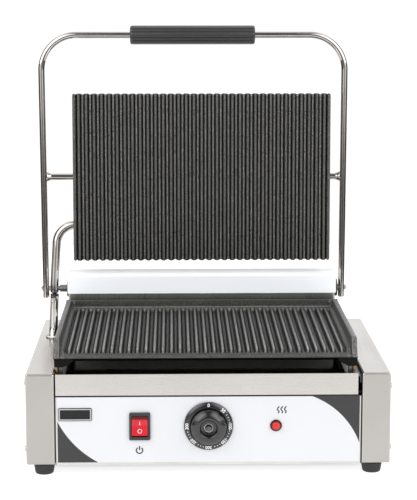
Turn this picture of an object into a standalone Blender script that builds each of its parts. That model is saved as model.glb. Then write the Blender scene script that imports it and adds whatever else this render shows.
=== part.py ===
"""Contact grill with two ribbed castings, open: metres, +Z up, X to the right and Y to the back.

While the pieces are made, Y is zero at the front faces of the side housings and Z at the floor. At the end
the whole grill is moved so that the middle of its underside is the origin.
"""

import math

import bmesh
import bpy
from mathutils import Matrix, Vector

# Base: two side housings with sheet panels between them
BASE_WIDTH = 0.410
BASE_DEPTH = 0.305
BASE_TOP = 0.1174
BASE_BOTTOM = 0.0126
HOUSING_WIDTH = 0.0325
HOUSING_EDGE_RADIUS = 0.0022
SHEET = 0.0012
GAP = 0.0003
OVERRUN = 0.003
ROUND_SIDES = 12

# Front panel and what is mounted on it
PANEL_TOP_DROP = 0.0258
PANEL_FLANGE = 0.015
CONTROLS_RISE = 0.0448
SWITCH_X = -0.0772
LAMP_X = 0.0758
BADGE_SIDE_INSET = 0.0228
BADGE_RISE = 0.0138
BADGE_WIDTH = 0.038
BADGE_HEIGHT = 0.015
BADGE_THICKNESS = 0.0009
BADGE_CORNER = 0.0009

# Drip tray
TRAY_SIDE_GAP = 0.0030
TRAY_X = -0.0017
TRAY_OVER_PANEL = 0.0013
TRAY_FRONT_HEIGHT = 0.0243
TRAY_WALL_HEIGHT = 0.0105
TRAY_DEPTH = 0.078
TRAY_SHEET = 0.001
TRAY_RETURN = 0.006
RUNNER_DEPTH = 0.085
RUNNER_WIDTH = 0.006

# Lower casting: its middle is a little left of the base's middle
PLATE_X = -0.0028
RIB_BORDER = 0.0079
RIB_COUNT = 33
RIB_CREST = 0.0030
RIB_VALLEY = 0.0026
RIB_DEPTH = 0.0045
RIB_RUN_OUT = 0.0045
LOWER_SIDE_GAP = 0.0015
LOWER_FRONT = 0.006
LOWER_REAR_INSET = 0.0611
LOWER_CREST_RISE = 0.0245
LOWER_FIELD_SLOPE = 0.0042
LOWER_RIM_RISE = 0.0378
LOWER_RIM_THICKNESS = 0.0060
LOWER_RIM_DRAFT = 0.0008
LOWER_LEDGE_WIDTH = 0.0036
LOWER_LEDGE_FLANK = 0.0016
LOWER_LIP_TOP_RISE = 0.0185
LOWER_LIP_BOTTOM_RISE = 0.0160
LOWER_UNDERSIDE_RISE = 0.0120
LOWER_UNDERSIDE_INSET = 0.009
LOWER_RIM_FRONT_SLOPE = 0.0105
LOWER_RIB_FRONT = 0.0145
LOWER_RIB_REAR_INSET = 0.0129
LOWER_GROOVE_RAMP = 0.0045
LUG_TOP_WIDTH = 0.0215
LUG_BOTTOM_WIDTH = 0.0105
LUG_DEPTH = 0.022
LUG_BOTTOM_RISE = 0.0062
LUG_SIDE_INSET = 0.0008
LUG_FRONT_INSET = 0.0020
DECK_CLEARANCE = 0.0024

# What the lower casting stands on
RAIL_TOP_DROP = 0.0050
RAIL_DROP = 0.008
RAIL_REACH = 0.0137
STUD_RADIUS = 0.0021
STUD_SIDE_INSET = 0.0032
STUD_ENGAGEMENT = 0.005
NUT_RADIUS = 0.0038
NUT_HEIGHT = 0.0042
NUT_SIDES = 6
SUPPORT_WIDTH = 0.0040
SUPPORT_FRONT_INSET = 0.0006

# Heaters
ELEMENT_RADIUS = 0.0034
ELEMENT_SIDES = 8
ELEMENT_PASSES = 4
ELEMENT_BEND_STEPS = 6
LOWER_ELEMENT_INSET = 0.0300
LOWER_ELEMENT_END_INSET = 0.0498
SHIELD_SIDE_GAP = 0.0225
SHIELD_FRONT = 0.086
SHIELD_REAR_INSET = 0.0845
SHIELD_BRIM = 0.0015
SHIELD_DEPTH = 0.010
SHIELD_SHEET = 0.0008

# Hinge housing behind the plates
HINGE_REAR_INSET = 0.0315
HINGE_RISE = 0.0470
BRACKET_SHEET = 0.0016
BRACKET_DEPTH = 0.0355
BRACKET_BEND = 0.0022
COVER_SHEET = 0.001
COVER_SIDE_GAP = 0.0030
COVER_FRONT_INSET = 0.0540
COVER_DEPTH = 0.0415
COVER_SKIRT_RISE = 0.0440
COVER_TOP_RISE = 0.0686
COVER_EDGE_RADIUS = 0.0028
COVER_SLOT_WIDTH = 0.0112
COVER_RETURN = 0.006
SHAFT_RADIUS = 0.00475
SPIGOT_RADIUS = 0.0030
BUSH_RADIUS = 0.0062
BUSH_FLANGE_RADIUS = 0.0085
BUSH_FLANGE = 0.0015
RUNNING_GAP = 0.0004
SPRING_WIRE_RADIUS = 0.0014
SPRING_RADIUS = 0.0088
SPRING_TURNS = 4
SPRING_STEPS = 9
SPRING_SIDES = 5
SPRING_PITCH = 0.0041
SPRING_INSET = 0.0482
COLLAR_RADIUS = 0.011
COLLAR_LENGTH = 0.008

# Lid frame: a rod bent into a U, on the hinge shaft
LEAN_BACK = math.radians(2.0)
ROD_RADIUS = 0.0039
ROD_LEFT_OFFSET = 0.0282
ROD_RIGHT_OFFSET = 0.0085
ROD_TAIL = 0.012
ROD_SPLAYS = {-1: 0.0030, 1: 0.0022}
ROD_SIDES = 12
BAR_OVER_PLATE = 0.0725
BAR_CORNER_RADIUS = 0.044
BAR_CORNER_STEPS = 8
GRIP_LENGTH = 0.156
GRIP_RADIUS = 0.0117
GRIP_GROOVES = 16
GRIP_GROOVE_DEPTH = 0.0007
GRIP_END_ROUND = 0.0022
PIN_RADIUS = 0.004
PIN_FLARE_RADIUS = 0.0058
PIN_FLARE_LENGTH = 0.005
SCREW_HEAD_RADIUS = 0.0034
SCREW_HEAD_HEIGHT = 0.0019
SCREW_SHANK_RADIUS = 0.0019
SCREW_SHANK_LENGTH = 0.007
SCREW_SIDES = 8

# Lid: upper casting, steel housing, heater
UPPER_SIDE_GAP = 0.0110
UPPER_SHORTER = 0.0279
UPPER_REAR_CLEARANCE = 0.0074
UPPER_FACE_Y = -0.0182
UPPER_BACK_Y = -0.0060
UPPER_SCALLOP = 0.0014
UPPER_EDGE_ROUND = 0.0022
UPPER_CORNER = 0.0019
HOUSING_SIDE_INSET = 0.004
LID_HOUSING_DEPTH = 0.0355
LID_HOUSING_RADIUS = 0.006
LID_BRACKET_INSET = 0.0150
LID_BRACKET_SHEET = 0.003
LID_BRACKET_FOOT = 0.014
LID_BRACKET_HEIGHT = 0.030
LID_BRACKET_EAR_BACK = 0.009
UPPER_ELEMENT_INSET = 0.0345
UPPER_ELEMENT_END_INSET = 0.0360
PAD_CLEARANCE = 0.0075
PAD_END_INSET = 0.0170
PAD_THICKNESS = 0.012
LID_FLOAT = math.radians(4.5)

# Wiring tube on the left, in two halves that meet on the hinge axis
CONDUIT_OFFSET = 0.0105
CONDUIT_RADIUS = 0.0052
CONDUIT_BORE_RADIUS = 0.0040
CONDUIT_SIDES = 12
CONDUIT_LEAN_X = 0.0042
CONDUIT_LEAN_Y = 0.0095
CONDUIT_BEND_START = 0.056
CONDUIT_BEND_RADIUS = 0.024
CONDUIT_BEND_STEPS = 7
CONDUIT_REACH = 0.0375
CONDUIT_TAIL = 0.0045
CONDUIT_STRAIGHT = 0.0060
CONDUIT_SLOT_MARGIN = 0.0010
CONDUIT_SLOT_ROUND_SHARE = 0.96
CONDUIT_SLOT_STEPS = 4
BALL_RADIUS = 0.0068
BALL_PLUG_TOP = 0.0035
SEAL_RADIUS = 0.0053
SEAL_BORE_RADIUS = 0.0030
SEAL_HEIGHT = 0.0048
LOWER_CONDUIT_SHIFT = 0.0032
LOWER_CONDUIT_RUN = 0.0765
LOWER_CONDUIT_KNEE_RISE = 0.0280
LOWER_CONDUIT_BEND = 0.0078
LOWER_CONDUIT_FOOT_RISE = 0.0100
FLANGE_RADIUS = 0.0092
FLANGE_HEIGHT = 0.0026
FLANGE_COLLAR = 0.0016

# Controls
KNOB_SKIRT_RADIUS = 0.0275
KNOB_RADIUS = 0.0200
KNOB_HEIGHT = 0.0150
KNOB_SIDES = 32
KNOB_FLUTES = 8
KNOB_FLUTE_RADIUS = 0.0095
KNOB_FLUTE_DEPTH = 0.0007
DIAL_SHAFT_RADIUS = 0.0029
DIAL_SHAFT_LENGTH = 0.0115
NECK_RADIUS = 0.0047
THERMOSTAT_SIZE = Vector((0.036, 0.022, 0.032))
SWITCH_BEZEL = Vector((0.0236, 0.0022, 0.0314))
SWITCH_OPENING = Vector((0.0184, 0.0110, 0.0244))
SWITCH_BODY = Vector((0.0208, 0.0200, 0.0278))
ROCKER_TILT = math.radians(8.0)
ROCKER_DEPTH_Y = 0.0036
ROCKER_RUNNING_GAP = 0.0004
BLADE_SIZE = Vector((0.0008, 0.0080, 0.0048))
BLADE_PITCH_SHARE = 0.31
LAMP_FLANGE_RADIUS = 0.0067
LAMP_DOME_RADIUS = 0.0049
LAMP_STEM_RADIUS = 0.0049
LAMP_STEM_LENGTH = 0.020

# Feet, lead inlet, terminal block
FOOT_INSET_X = 0.0192
FOOT_INSET_Y = 0.0145
FOOT_TOP_RADIUS = 0.0122
FOOT_BOTTOM_RADIUS = 0.0104
FOOT_SIDES = 16
GLAND_SIDE_INSET = 0.0525
GLAND_RISE = 0.0348
GLAND_HOLE_RADIUS = 0.0080
GLAND_BORE_RADIUS = 0.0042
TERMINAL_SIZE = Vector((0.044, 0.018, 0.014))
TERMINAL_SIDE_INSET = 0.0375
TERMINAL_REAR_INSET = 0.065

# Derived places that several pieces share: across the grill
INNER_X = BASE_WIDTH / 2 - HOUSING_WIDTH
SPAN = INNER_X - GAP
TRAY_WIDTH = 2 * (INNER_X - TRAY_SIDE_GAP)
HALF_LOWER = INNER_X - LOWER_SIDE_GAP
SHIELD_HALF = INNER_X - SHIELD_SIDE_GAP
COVER_HALF = INNER_X - COVER_SIDE_GAP
UPPER_HALF = INNER_X - UPPER_SIDE_GAP
HALF_RIBS = UPPER_HALF - RIB_BORDER
RIB_PITCH = 2 * HALF_RIBS / (RIB_COUNT - 1)
RIB_FLANK = (RIB_PITCH - RIB_CREST - RIB_VALLEY) / 2
RAIL_INNER = SPAN - RAIL_REACH
LID_BRACKET_X = UPPER_HALF - LID_BRACKET_INSET
BADGE_X = BADGE_SIDE_INSET - INNER_X
TERMINAL_X = TERMINAL_SIDE_INSET - INNER_X
GLAND_X = GLAND_SIDE_INSET - INNER_X
ROD_LEFT_X = PLATE_X - COVER_HALF - ROD_LEFT_OFFSET
ROD_RIGHT_X = PLATE_X + COVER_HALF + ROD_RIGHT_OFFSET
SHAFT_LEFT = ROD_LEFT_X + ROD_RADIUS + GAP
SHAFT_RIGHT = ROD_RIGHT_X - ROD_RADIUS - GAP
CONDUIT_X = ROD_LEFT_X + CONDUIT_OFFSET
CONDUIT_END_X = CONDUIT_X + CONDUIT_REACH
LOWER_CONDUIT_FOOT_X = CONDUIT_X + LOWER_CONDUIT_SHIFT
BRACKET_HALF = COVER_HALF - COVER_SHEET - GAP

# From front to back
LOWER_REAR = BASE_DEPTH - LOWER_REAR_INSET
LOWER_RIB_REAR = LOWER_REAR - LOWER_RIB_REAR_INSET
SHIELD_REAR = BASE_DEPTH - SHIELD_REAR_INSET
HINGE_Y = BASE_DEPTH - HINGE_REAR_INSET
COVER_FRONT = BASE_DEPTH - COVER_FRONT_INSET
COVER_REAR = COVER_FRONT + COVER_DEPTH
BRACKET_FRONT = COVER_FRONT + COVER_SHEET + GAP
DECK_FRONT = LOWER_REAR + DECK_CLEARANCE
LOWER_CONDUIT_FOOT_Y = HINGE_Y - LOWER_CONDUIT_RUN
TERMINAL_Y = BASE_DEPTH - TERMINAL_REAR_INSET

# Heights in the base
PANEL_TOP = BASE_TOP - PANEL_TOP_DROP
CONTROLS_Z = BASE_BOTTOM + CONTROLS_RISE
BADGE_Z = CONTROLS_Z + BADGE_RISE
GLAND_Z = BASE_BOTTOM + GLAND_RISE
TRAY_BOTTOM = PANEL_TOP + TRAY_OVER_PANEL
TRAY_FRONT_TOP = TRAY_BOTTOM + TRAY_FRONT_HEIGHT
RAIL_TOP = BASE_TOP - RAIL_TOP_DROP
LUG_BOTTOM = BASE_TOP + LUG_BOTTOM_RISE
LOWER_UNDERSIDE = BASE_TOP + LOWER_UNDERSIDE_RISE
LOWER_LIP_BOTTOM = BASE_TOP + LOWER_LIP_BOTTOM_RISE
LOWER_LIP_TOP = BASE_TOP + LOWER_LIP_TOP_RISE
LOWER_CREST_Z = BASE_TOP + LOWER_CREST_RISE
LOWER_RIM_TOP = BASE_TOP + LOWER_RIM_RISE
HINGE_Z = BASE_TOP + HINGE_RISE
COVER_SKIRT_Z = BASE_TOP + COVER_SKIRT_RISE
COVER_TOP = BASE_TOP + COVER_TOP_RISE
LOWER_CONDUIT_KNEE_Z = BASE_TOP + LOWER_CONDUIT_KNEE_RISE

# Along the arms of the lid frame, from the hinge
UPPER_HEIGHT = LOWER_REAR - LOWER_FRONT - UPPER_SHORTER
PIVOT_HEIGHT = HINGE_Y - LOWER_REAR + UPPER_REAR_CLEARANCE + UPPER_HEIGHT / 2
BAR_HEIGHT = PIVOT_HEIGHT + UPPER_HEIGHT / 2 + BAR_OVER_PLATE

LUG_OUTER = HALF_LOWER - LUG_SIDE_INSET
LUG_ROWS = (
    (LOWER_FRONT + LUG_FRONT_INSET, LOWER_FRONT + LUG_FRONT_INSET + LUG_DEPTH),
    (LOWER_REAR - LUG_FRONT_INSET - LUG_DEPTH, LOWER_REAR - LUG_FRONT_INSET),
)
FACES = (-1, 1)


def clear_scene():
    for old in list(bpy.data.objects):
        bpy.data.objects.remove(old, do_unlink=True)


def finish(name, colour, roughness, metallic):
    """A plain Principled material."""
    material = bpy.data.materials.new(name)
    material.use_nodes = True
    shader = material.node_tree.nodes["Principled BSDF"]
    shader.inputs["Base Color"].default_value = (*colour, 1.0)
    shader.inputs["Roughness"].default_value = roughness
    shader.inputs["Metallic"].default_value = metallic
    return material


def anchor(name, location, parent=None, tilt=0.0):
    """An empty on a joint's axis."""
    empty = bpy.data.objects.new(name, None)
    bpy.context.collection.objects.link(empty)
    empty.location = location
    empty.rotation_euler.x = tilt
    empty.parent = parent
    return empty


def add_box(bm, lo, hi):
    """A box between two corners."""
    lo, hi = Vector(lo), Vector(hi)
    size = hi - lo
    matrix = Matrix.Translation((lo + hi) / 2) @ Matrix.Diagonal((*size, 1.0))
    bmesh.ops.create_cube(bm, size=1.0, matrix=matrix)


def add_prism(bm, outline, axis, start, end):
    """An outline in the plane square to an axis, drawn out from start to end along it."""
    place = {
        "X": lambda u, v, w: (w, u, v),
        "Y": lambda u, v, w: (u, w, v),
        "Z": lambda u, v, w: (u, v, w),
    }[axis]
    rings = [[bm.verts.new(place(u, v, w)) for u, v in outline] for w in (start, end)]
    count = len(outline)
    bm.faces.new(rings[0])
    bm.faces.new(rings[1])
    for i in range(count):
        k = (i + 1) % count
        bm.faces.new((rings[0][i], rings[0][k], rings[1][k], rings[1][i]))


def axis_matrix(centre, axis):
    """Takes local Z to the named axis, with its origin at the centre."""
    turn = Vector((0, 0, 1)).rotation_difference(Vector(axis)).to_matrix().to_4x4()
    return Matrix.Translation(centre) @ turn


def add_turned(bm, profile, centre, axis, sides, loop=False):
    """A profile of (radius, height) points turned round an axis. A loop has no end on the axis."""
    matrix = axis_matrix(centre, axis)
    rings = []
    for radius, height in profile:
        if radius == 0:
            rings.append([bm.verts.new(matrix @ Vector((0, 0, height)))])
            continue
        ring = []
        for i in range(sides):
            angle = math.tau * i / sides
            point = Vector((radius * math.cos(angle), radius * math.sin(angle), height))
            ring.append(bm.verts.new(matrix @ point))
        rings.append(ring)
    pairs = list(zip(rings, rings[1:]))
    if loop:
        pairs.append((rings[-1], rings[0]))
    for low, high in pairs:
        for i in range(sides):
            k = (i + 1) % sides
            if len(low) == 1:
                bm.faces.new((low[0], high[i], high[k]))
            elif len(high) == 1:
                bm.faces.new((low[i], low[k], high[0]))
            else:
                bm.faces.new((low[i], low[k], high[k], high[i]))
    if not loop:
        for ring in (rings[0], rings[-1]):
            if len(ring) > 1:
                bm.faces.new(ring)


def add_rod(bm, start, end, radius, sides=ROUND_SIDES):
    """A plain cylinder between two points."""
    start, end = Vector(start), Vector(end)
    length = (end - start).length
    add_turned(bm, [(radius, 0), (radius, length)], start, (end - start).normalized(), sides)


def add_swept(bm, path, radius, sides, bore=0.0):
    """A round section carried along a path without twist, with an open bore where one is named."""
    path = [Vector(p) for p in path]
    tangents = []
    for i in range(len(path)):
        before = path[i] - path[i - 1] if i else path[1] - path[0]
        after = path[i + 1] - path[i] if i < len(path) - 1 else before
        tangents.append((before.normalized() + after.normalized()).normalized())
    side = tangents[0].orthogonal().normalized()
    frames = []
    for i, tangent in enumerate(tangents):
        if i:
            side = tangents[i - 1].rotation_difference(tangent) @ side
        frames.append((side.copy(), tangent.cross(side)))
    skins = []
    for r in (radius, bore) if bore else (radius,):
        rings = []
        for point, (u, v) in zip(path, frames):
            turns = [math.tau * i / sides for i in range(sides)]
            rings.append([bm.verts.new(point + (u * math.cos(t) + v * math.sin(t)) * r) for t in turns])
        for low, high in zip(rings, rings[1:]):
            for i in range(sides):
                k = (i + 1) % sides
                bm.faces.new((low[i], low[k], high[k], high[i]))
        skins.append(rings)
    for end in (0, -1):
        if not bore:
            bm.faces.new(skins[0][end])
            continue
        for i in range(sides):
            k = (i + 1) % sides
            outer, inner = skins[0][end], skins[1][end]
            bm.faces.new((outer[i], outer[k], inner[k], inner[i]))


def bent_path(corners, radius, steps):
    """A path through corner points with each inner corner rounded to one radius."""
    corners = [Vector(c) for c in corners]
    path = [corners[0]]
    for before, corner, after in zip(corners, corners[1:], corners[2:]):
        back, on = (before - corner).normalized(), (after - corner).normalized()
        turn = math.pi - back.angle(on)
        reach = radius * math.tan(turn / 2)
        start, end = corner + back * reach, corner + on * reach
        centre = corner + (back + on).normalized() * (radius / math.cos(turn / 2))
        first, last = (start - centre).normalized(), (end - centre).normalized()
        for i in range(steps + 1):
            path.append(centre + first.slerp(last, i / steps) * radius)
    path.append(corners[-1])
    return path


def rounded_rectangle(width, height, radius, steps, centre=(0, 0)):
    """The outline of a rectangle with round corners."""
    points = []
    corners = ((1, 1, 0), (-1, 1, 1), (-1, -1, 2), (1, -1, 3))
    for sx, sy, quarter in corners:
        cx = centre[0] + sx * (width / 2 - radius)
        cy = centre[1] + sy * (height / 2 - radius)
        for i in range(steps + 1):
            angle = math.pi / 2 * (quarter + i / steps)
            points.append((cx + radius * math.cos(angle), cy + radius * math.sin(angle)))
    return points


def piece(name, bm, material=None, parent=None, location=(0, 0, 0), smooth=None):
    """Turns a bmesh into a named object. One without a material only cuts or joins others."""
    bmesh.ops.recalc_face_normals(bm, faces=bm.faces)
    mesh = bpy.data.meshes.new(name)
    bm.to_mesh(mesh)
    bm.free()
    body = bpy.data.objects.new(name, mesh)
    bpy.context.collection.objects.link(body)
    body.location = location
    body.parent = parent
    if material is None:
        body.hide_render = True
        body.display_type = "WIRE"
        return body
    mesh.materials.append(material)
    if smooth:
        mesh.shade_smooth()
        mesh.set_sharp_from_angle(angle=smooth)
    return body


def combine(body, tool, operation):
    """Cuts a tool from a body, or joins it to it."""
    modifier = body.modifiers.new(tool.name, "BOOLEAN")
    modifier.operation = operation
    modifier.solver = "EXACT"
    modifier.object = tool


def round_edges(body, width, segments, angle=math.radians(50)):
    modifier = body.modifiers.new("round edges", "BEVEL")
    modifier.width = width
    modifier.segments = segments
    modifier.limit_method = "ANGLE"
    modifier.angle_limit = angle


ROUND = math.radians(35)


def screw(bm, seat, axis, shank=SCREW_SHANK_LENGTH, scale=1.0):
    """A pan head that sits just off its seat, with its shank going into the hole below."""
    r, h = SCREW_HEAD_RADIUS * scale, SCREW_HEAD_HEIGHT * scale
    s = SCREW_SHANK_RADIUS * scale
    dome_share, shoulder_share = 0.62, 0.45
    profile = [(0, -shank), (s, -shank), (s, GAP), (r, GAP), (r, GAP + h * shoulder_share)]
    profile += [(r * dome_share, GAP + h), (0, GAP + h)]
    add_turned(bm, profile, seat, axis, SCREW_SIDES)


def screw_hole(bm, seat, axis, shank=SCREW_SHANK_LENGTH, scale=1.0):
    radius = SCREW_SHANK_RADIUS * scale + GAP
    start = Vector(seat) + Vector(axis) * OVERRUN
    end = Vector(seat) - Vector(axis) * (shank + GAP)
    add_rod(bm, start, end, radius, SCREW_SIDES)


clear_scene()

STEEL = finish("brushed steel", (0.62, 0.61, 0.59), 0.34, 1.0)
PANEL = finish("white panel", (0.90, 0.90, 0.92), 0.35, 0.0)
CHROME = finish("chrome", (0.70, 0.69, 0.67), 0.12, 1.0)
IRON = finish("cast iron", (0.075, 0.074, 0.072), 0.62, 0.3)
COVER_WHITE = finish("satin film", (0.84, 0.87, 0.90), 0.40, 0.0)
BLACK = finish("black plastic", (0.022, 0.022, 0.023), 0.42, 0.0)
RUBBER = finish("rubber", (0.035, 0.035, 0.035), 0.70, 0.0)
BRASS = finish("brass", (0.55, 0.38, 0.20), 0.35, 1.0)
RED = finish("red plastic", (0.72, 0.03, 0.05), 0.25, 0.0)
GLOW = finish("red lens", (0.60, 0.02, 0.01), 0.15, 0.0)
DARK_SHEET = finish("dark sheet", (0.03, 0.03, 0.03), 0.6, 0.4)
WOOL = finish("mineral wool", (0.55, 0.50, 0.38), 0.95, 0.0)


# Side housings: closed sheet boxes, each with a hole for wires in its inner wall
WIRE_HOLE_Y = 0.120
WIRE_HOLE_RADIUS = 0.006
SIDE_SCREW_INSET = 0.0075
LEFT_SCREW_DROP = 0.0105
RIGHT_SCREW_DROP = 0.0165
SIDE_NAMES = {-1: "left", 1: "right"}
SIDE_SCREW_SEATS = {
    -1: Vector((-BASE_WIDTH / 2, SIDE_SCREW_INSET, BASE_TOP - LEFT_SCREW_DROP)),
    1: Vector((BASE_WIDTH / 2, SIDE_SCREW_INSET, BASE_TOP - RIGHT_SCREW_DROP)),
}
for side in FACES:
    bm = bmesh.new()
    edges = sorted((side * INNER_X, side * BASE_WIDTH / 2))
    add_box(bm, (edges[0], 0, BASE_BOTTOM), (edges[1], BASE_DEPTH, BASE_TOP))
    housing = piece(SIDE_NAMES[side] + "_side_housing", bm, STEEL)
    round_edges(housing, HOUSING_EDGE_RADIUS, 2)
    bm = bmesh.new()
    lo = (edges[0] + SHEET, SHEET, BASE_BOTTOM + SHEET)
    add_box(bm, lo, (edges[1] - SHEET, BASE_DEPTH - SHEET, BASE_TOP - SHEET))
    combine(housing, piece("cut_housing_hollow", bm), "DIFFERENCE")
    bm = bmesh.new()
    screw_hole(bm, SIDE_SCREW_SEATS[side], (side, 0, 0))
    wires = [(side * (INNER_X + e), WIRE_HOLE_Y, CONTROLS_Z) for e in (-OVERRUN, OVERRUN)]
    add_rod(bm, wires[0], wires[1], WIRE_HOLE_RADIUS)
    if side < 0:
        foot = Vector((LOWER_CONDUIT_FOOT_X, LOWER_CONDUIT_FOOT_Y, BASE_TOP))
        ends = [foot + Vector((0, 0, e)) for e in (OVERRUN, -OVERRUN)]
        add_rod(bm, ends[0], ends[1], CONDUIT_BORE_RADIUS)
    combine(housing, piece("cut_housing_holes", bm), "DIFFERENCE")
    bm = bmesh.new()
    screw(bm, SIDE_SCREW_SEATS[side], (side, 0, 0))
    piece("side_screw_" + SIDE_NAMES[side], bm, STEEL, smooth=ROUND)


# Feet: tapered rubber, with a hole and a recess for a screw
FOOT_SCREW_RECESS = 0.0055
FOOT_HEIGHT = BASE_BOTTOM - GAP
FOOT_CHAMFER = 0.0010
foot_bore = SCREW_SHANK_RADIUS + GAP
foot_recess = SCREW_HEAD_RADIUS + RUNNING_GAP
foot_profile = [
    (foot_recess, 0),
    (FOOT_BOTTOM_RADIUS - FOOT_CHAMFER, 0),
    (FOOT_BOTTOM_RADIUS, FOOT_CHAMFER),
    (FOOT_TOP_RADIUS, FOOT_HEIGHT - FOOT_CHAMFER),
    (FOOT_TOP_RADIUS - FOOT_CHAMFER, FOOT_HEIGHT),
    (foot_bore, FOOT_HEIGHT),
    (foot_bore, FOOT_SCREW_RECESS),
    (foot_recess, FOOT_SCREW_RECESS),
]
for side in FACES:
    x = side * (BASE_WIDTH / 2 - FOOT_INSET_X)
    for row, y in (("front", FOOT_INSET_Y), ("rear", BASE_DEPTH - FOOT_INSET_Y)):
        bm = bmesh.new()
        add_turned(bm, foot_profile, (0, 0, 0), (0, 0, 1), FOOT_SIDES, loop=True)
        piece(f"foot_{row}_{SIDE_NAMES[side]}", bm, RUBBER, location=(x, y, 0), smooth=ROUND)


# Floor panel with two rows of vent slots
FLOOR_Z = BASE_BOTTOM + SHEET + GAP
FLOOR_SLOTS = 6
FLOOR_SLOT_LENGTH = 0.060
FLOOR_SLOT_WIDTH = 0.005
FLOOR_SLOT_PITCH = 0.040
FLOOR_SLOT_ROWS_SHARE = (0.34, 0.66)
bm = bmesh.new()
floor_front, floor_rear = SHEET + GAP, BASE_DEPTH - SHEET - GAP
add_box(bm, (-SPAN + SHEET + GAP, floor_front, FLOOR_Z), (SPAN - SHEET - GAP, floor_rear, FLOOR_Z + SHEET))
floor_panel = piece("floor_panel", bm, STEEL)
bm = bmesh.new()
for share in FLOOR_SLOT_ROWS_SHARE:
    for i in range(FLOOR_SLOTS):
        x = (i - (FLOOR_SLOTS - 1) / 2) * FLOOR_SLOT_PITCH
        y = BASE_DEPTH * share
        outline = rounded_rectangle(FLOOR_SLOT_WIDTH, FLOOR_SLOT_LENGTH, FLOOR_SLOT_WIDTH / 2, 2, (x, y))
        add_prism(bm, outline, "Z", FLOOR_Z - OVERRUN, FLOOR_Z + SHEET + OVERRUN)
combine(floor_panel, piece("cut_floor", bm), "DIFFERENCE")


# Front panel: a folded pan, open at the back, with its three cut-outs
bm = bmesh.new()
add_box(bm, (-SPAN, 0, BASE_BOTTOM), (SPAN, PANEL_FLANGE, PANEL_TOP))
front_panel = piece("front_panel", bm, PANEL)
bm = bmesh.new()
lo = (-SPAN + SHEET, SHEET, BASE_BOTTOM + SHEET)
add_box(bm, lo, (SPAN - SHEET, PANEL_FLANGE + OVERRUN, PANEL_TOP - SHEET))
combine(front_panel, piece("cut_panel_hollow", bm), "DIFFERENCE")
bm = bmesh.new()
hole_margin = RUNNING_GAP / 2
outline = rounded_rectangle(
    SWITCH_BODY.x + RUNNING_GAP, SWITCH_BODY.z + RUNNING_GAP, hole_margin, 1, (SWITCH_X, CONTROLS_Z)
)
add_prism(bm, outline, "Y", -OVERRUN, SHEET + OVERRUN)
for x, radius in ((0, NECK_RADIUS), (LAMP_X, LAMP_STEM_RADIUS)):
    add_rod(bm, (x, -OVERRUN, CONTROLS_Z), (x, SHEET + OVERRUN, CONTROLS_Z), radius + GAP, KNOB_SIDES // 2)
combine(front_panel, piece("cut_panel_holes", bm), "DIFFERENCE")


# Badge plate, bare
bm = bmesh.new()
outline = rounded_rectangle(BADGE_WIDTH, BADGE_HEIGHT, BADGE_CORNER, 2, (BADGE_X, BADGE_Z))
add_prism(bm, outline, "Y", -GAP - BADGE_THICKNESS, -GAP)
piece("badge_plate", bm, CHROME)


# Rear panel: wall and deck folded from one sheet, with vents and the hole for the lead
VENT_COUNT = 9
VENT_WIDTH = 0.005
VENT_HEIGHT = 0.028
VENT_PITCH = 0.014
VENT_X = 0.050
VENT_RISE = 0.021
bm = bmesh.new()
outline = [
    (BASE_DEPTH, BASE_BOTTOM),
    (BASE_DEPTH, BASE_TOP),
    (DECK_FRONT, BASE_TOP),
    (DECK_FRONT, BASE_TOP - SHEET),
    (BASE_DEPTH - SHEET, BASE_TOP - SHEET),
    (BASE_DEPTH - SHEET, BASE_BOTTOM),
]
add_prism(bm, outline, "X", -SPAN, SPAN)
rear_panel = piece("rear_panel", bm, STEEL)
bm = bmesh.new()
for i in range(VENT_COUNT):
    x = VENT_X + (i - (VENT_COUNT - 1) / 2) * VENT_PITCH
    outline = rounded_rectangle(VENT_WIDTH, VENT_HEIGHT, VENT_WIDTH / 2, 2, (x, BASE_BOTTOM + VENT_RISE))
    add_prism(bm, outline, "Y", BASE_DEPTH - SHEET - OVERRUN, BASE_DEPTH + OVERRUN)
gland_ends = [(GLAND_X, BASE_DEPTH + e, GLAND_Z) for e in (-SHEET - OVERRUN, OVERRUN)]
add_rod(bm, gland_ends[0], gland_ends[1], GLAND_HOLE_RADIUS + GAP, KNOB_SIDES // 2)
combine(rear_panel, piece("cut_rear", bm), "DIFFERENCE")


# Lead inlet: a flanged gland with its bore, held by the wall
GLAND_FLANGE_RADIUS = 0.0105
GLAND_NOSE_RADIUS = 0.0072
GLAND_TIP_RADIUS = 0.0063
GLAND_NOSE = 0.007
GLAND_FLANGE = 0.0025
GLAND_INSIDE = 0.008
GLAND_SIDES = 16
gland_profile = [
    (GLAND_BORE_RADIUS, -SHEET - GLAND_INSIDE),
    (GLAND_HOLE_RADIUS, -SHEET - GLAND_INSIDE),
    (GLAND_HOLE_RADIUS, GAP),
    (GLAND_FLANGE_RADIUS, GAP),
    (GLAND_FLANGE_RADIUS, GAP + GLAND_FLANGE),
    (GLAND_NOSE_RADIUS, GAP + GLAND_FLANGE),
    (GLAND_TIP_RADIUS, GAP + GLAND_FLANGE + GLAND_NOSE),
    (GLAND_BORE_RADIUS, GAP + GLAND_FLANGE + GLAND_NOSE),
]
bm = bmesh.new()
add_turned(bm, gland_profile, (GLAND_X, BASE_DEPTH, GLAND_Z), (0, 1, 0), GLAND_SIDES, loop=True)
piece("cable_gland", bm, BLACK, smooth=ROUND)


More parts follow.
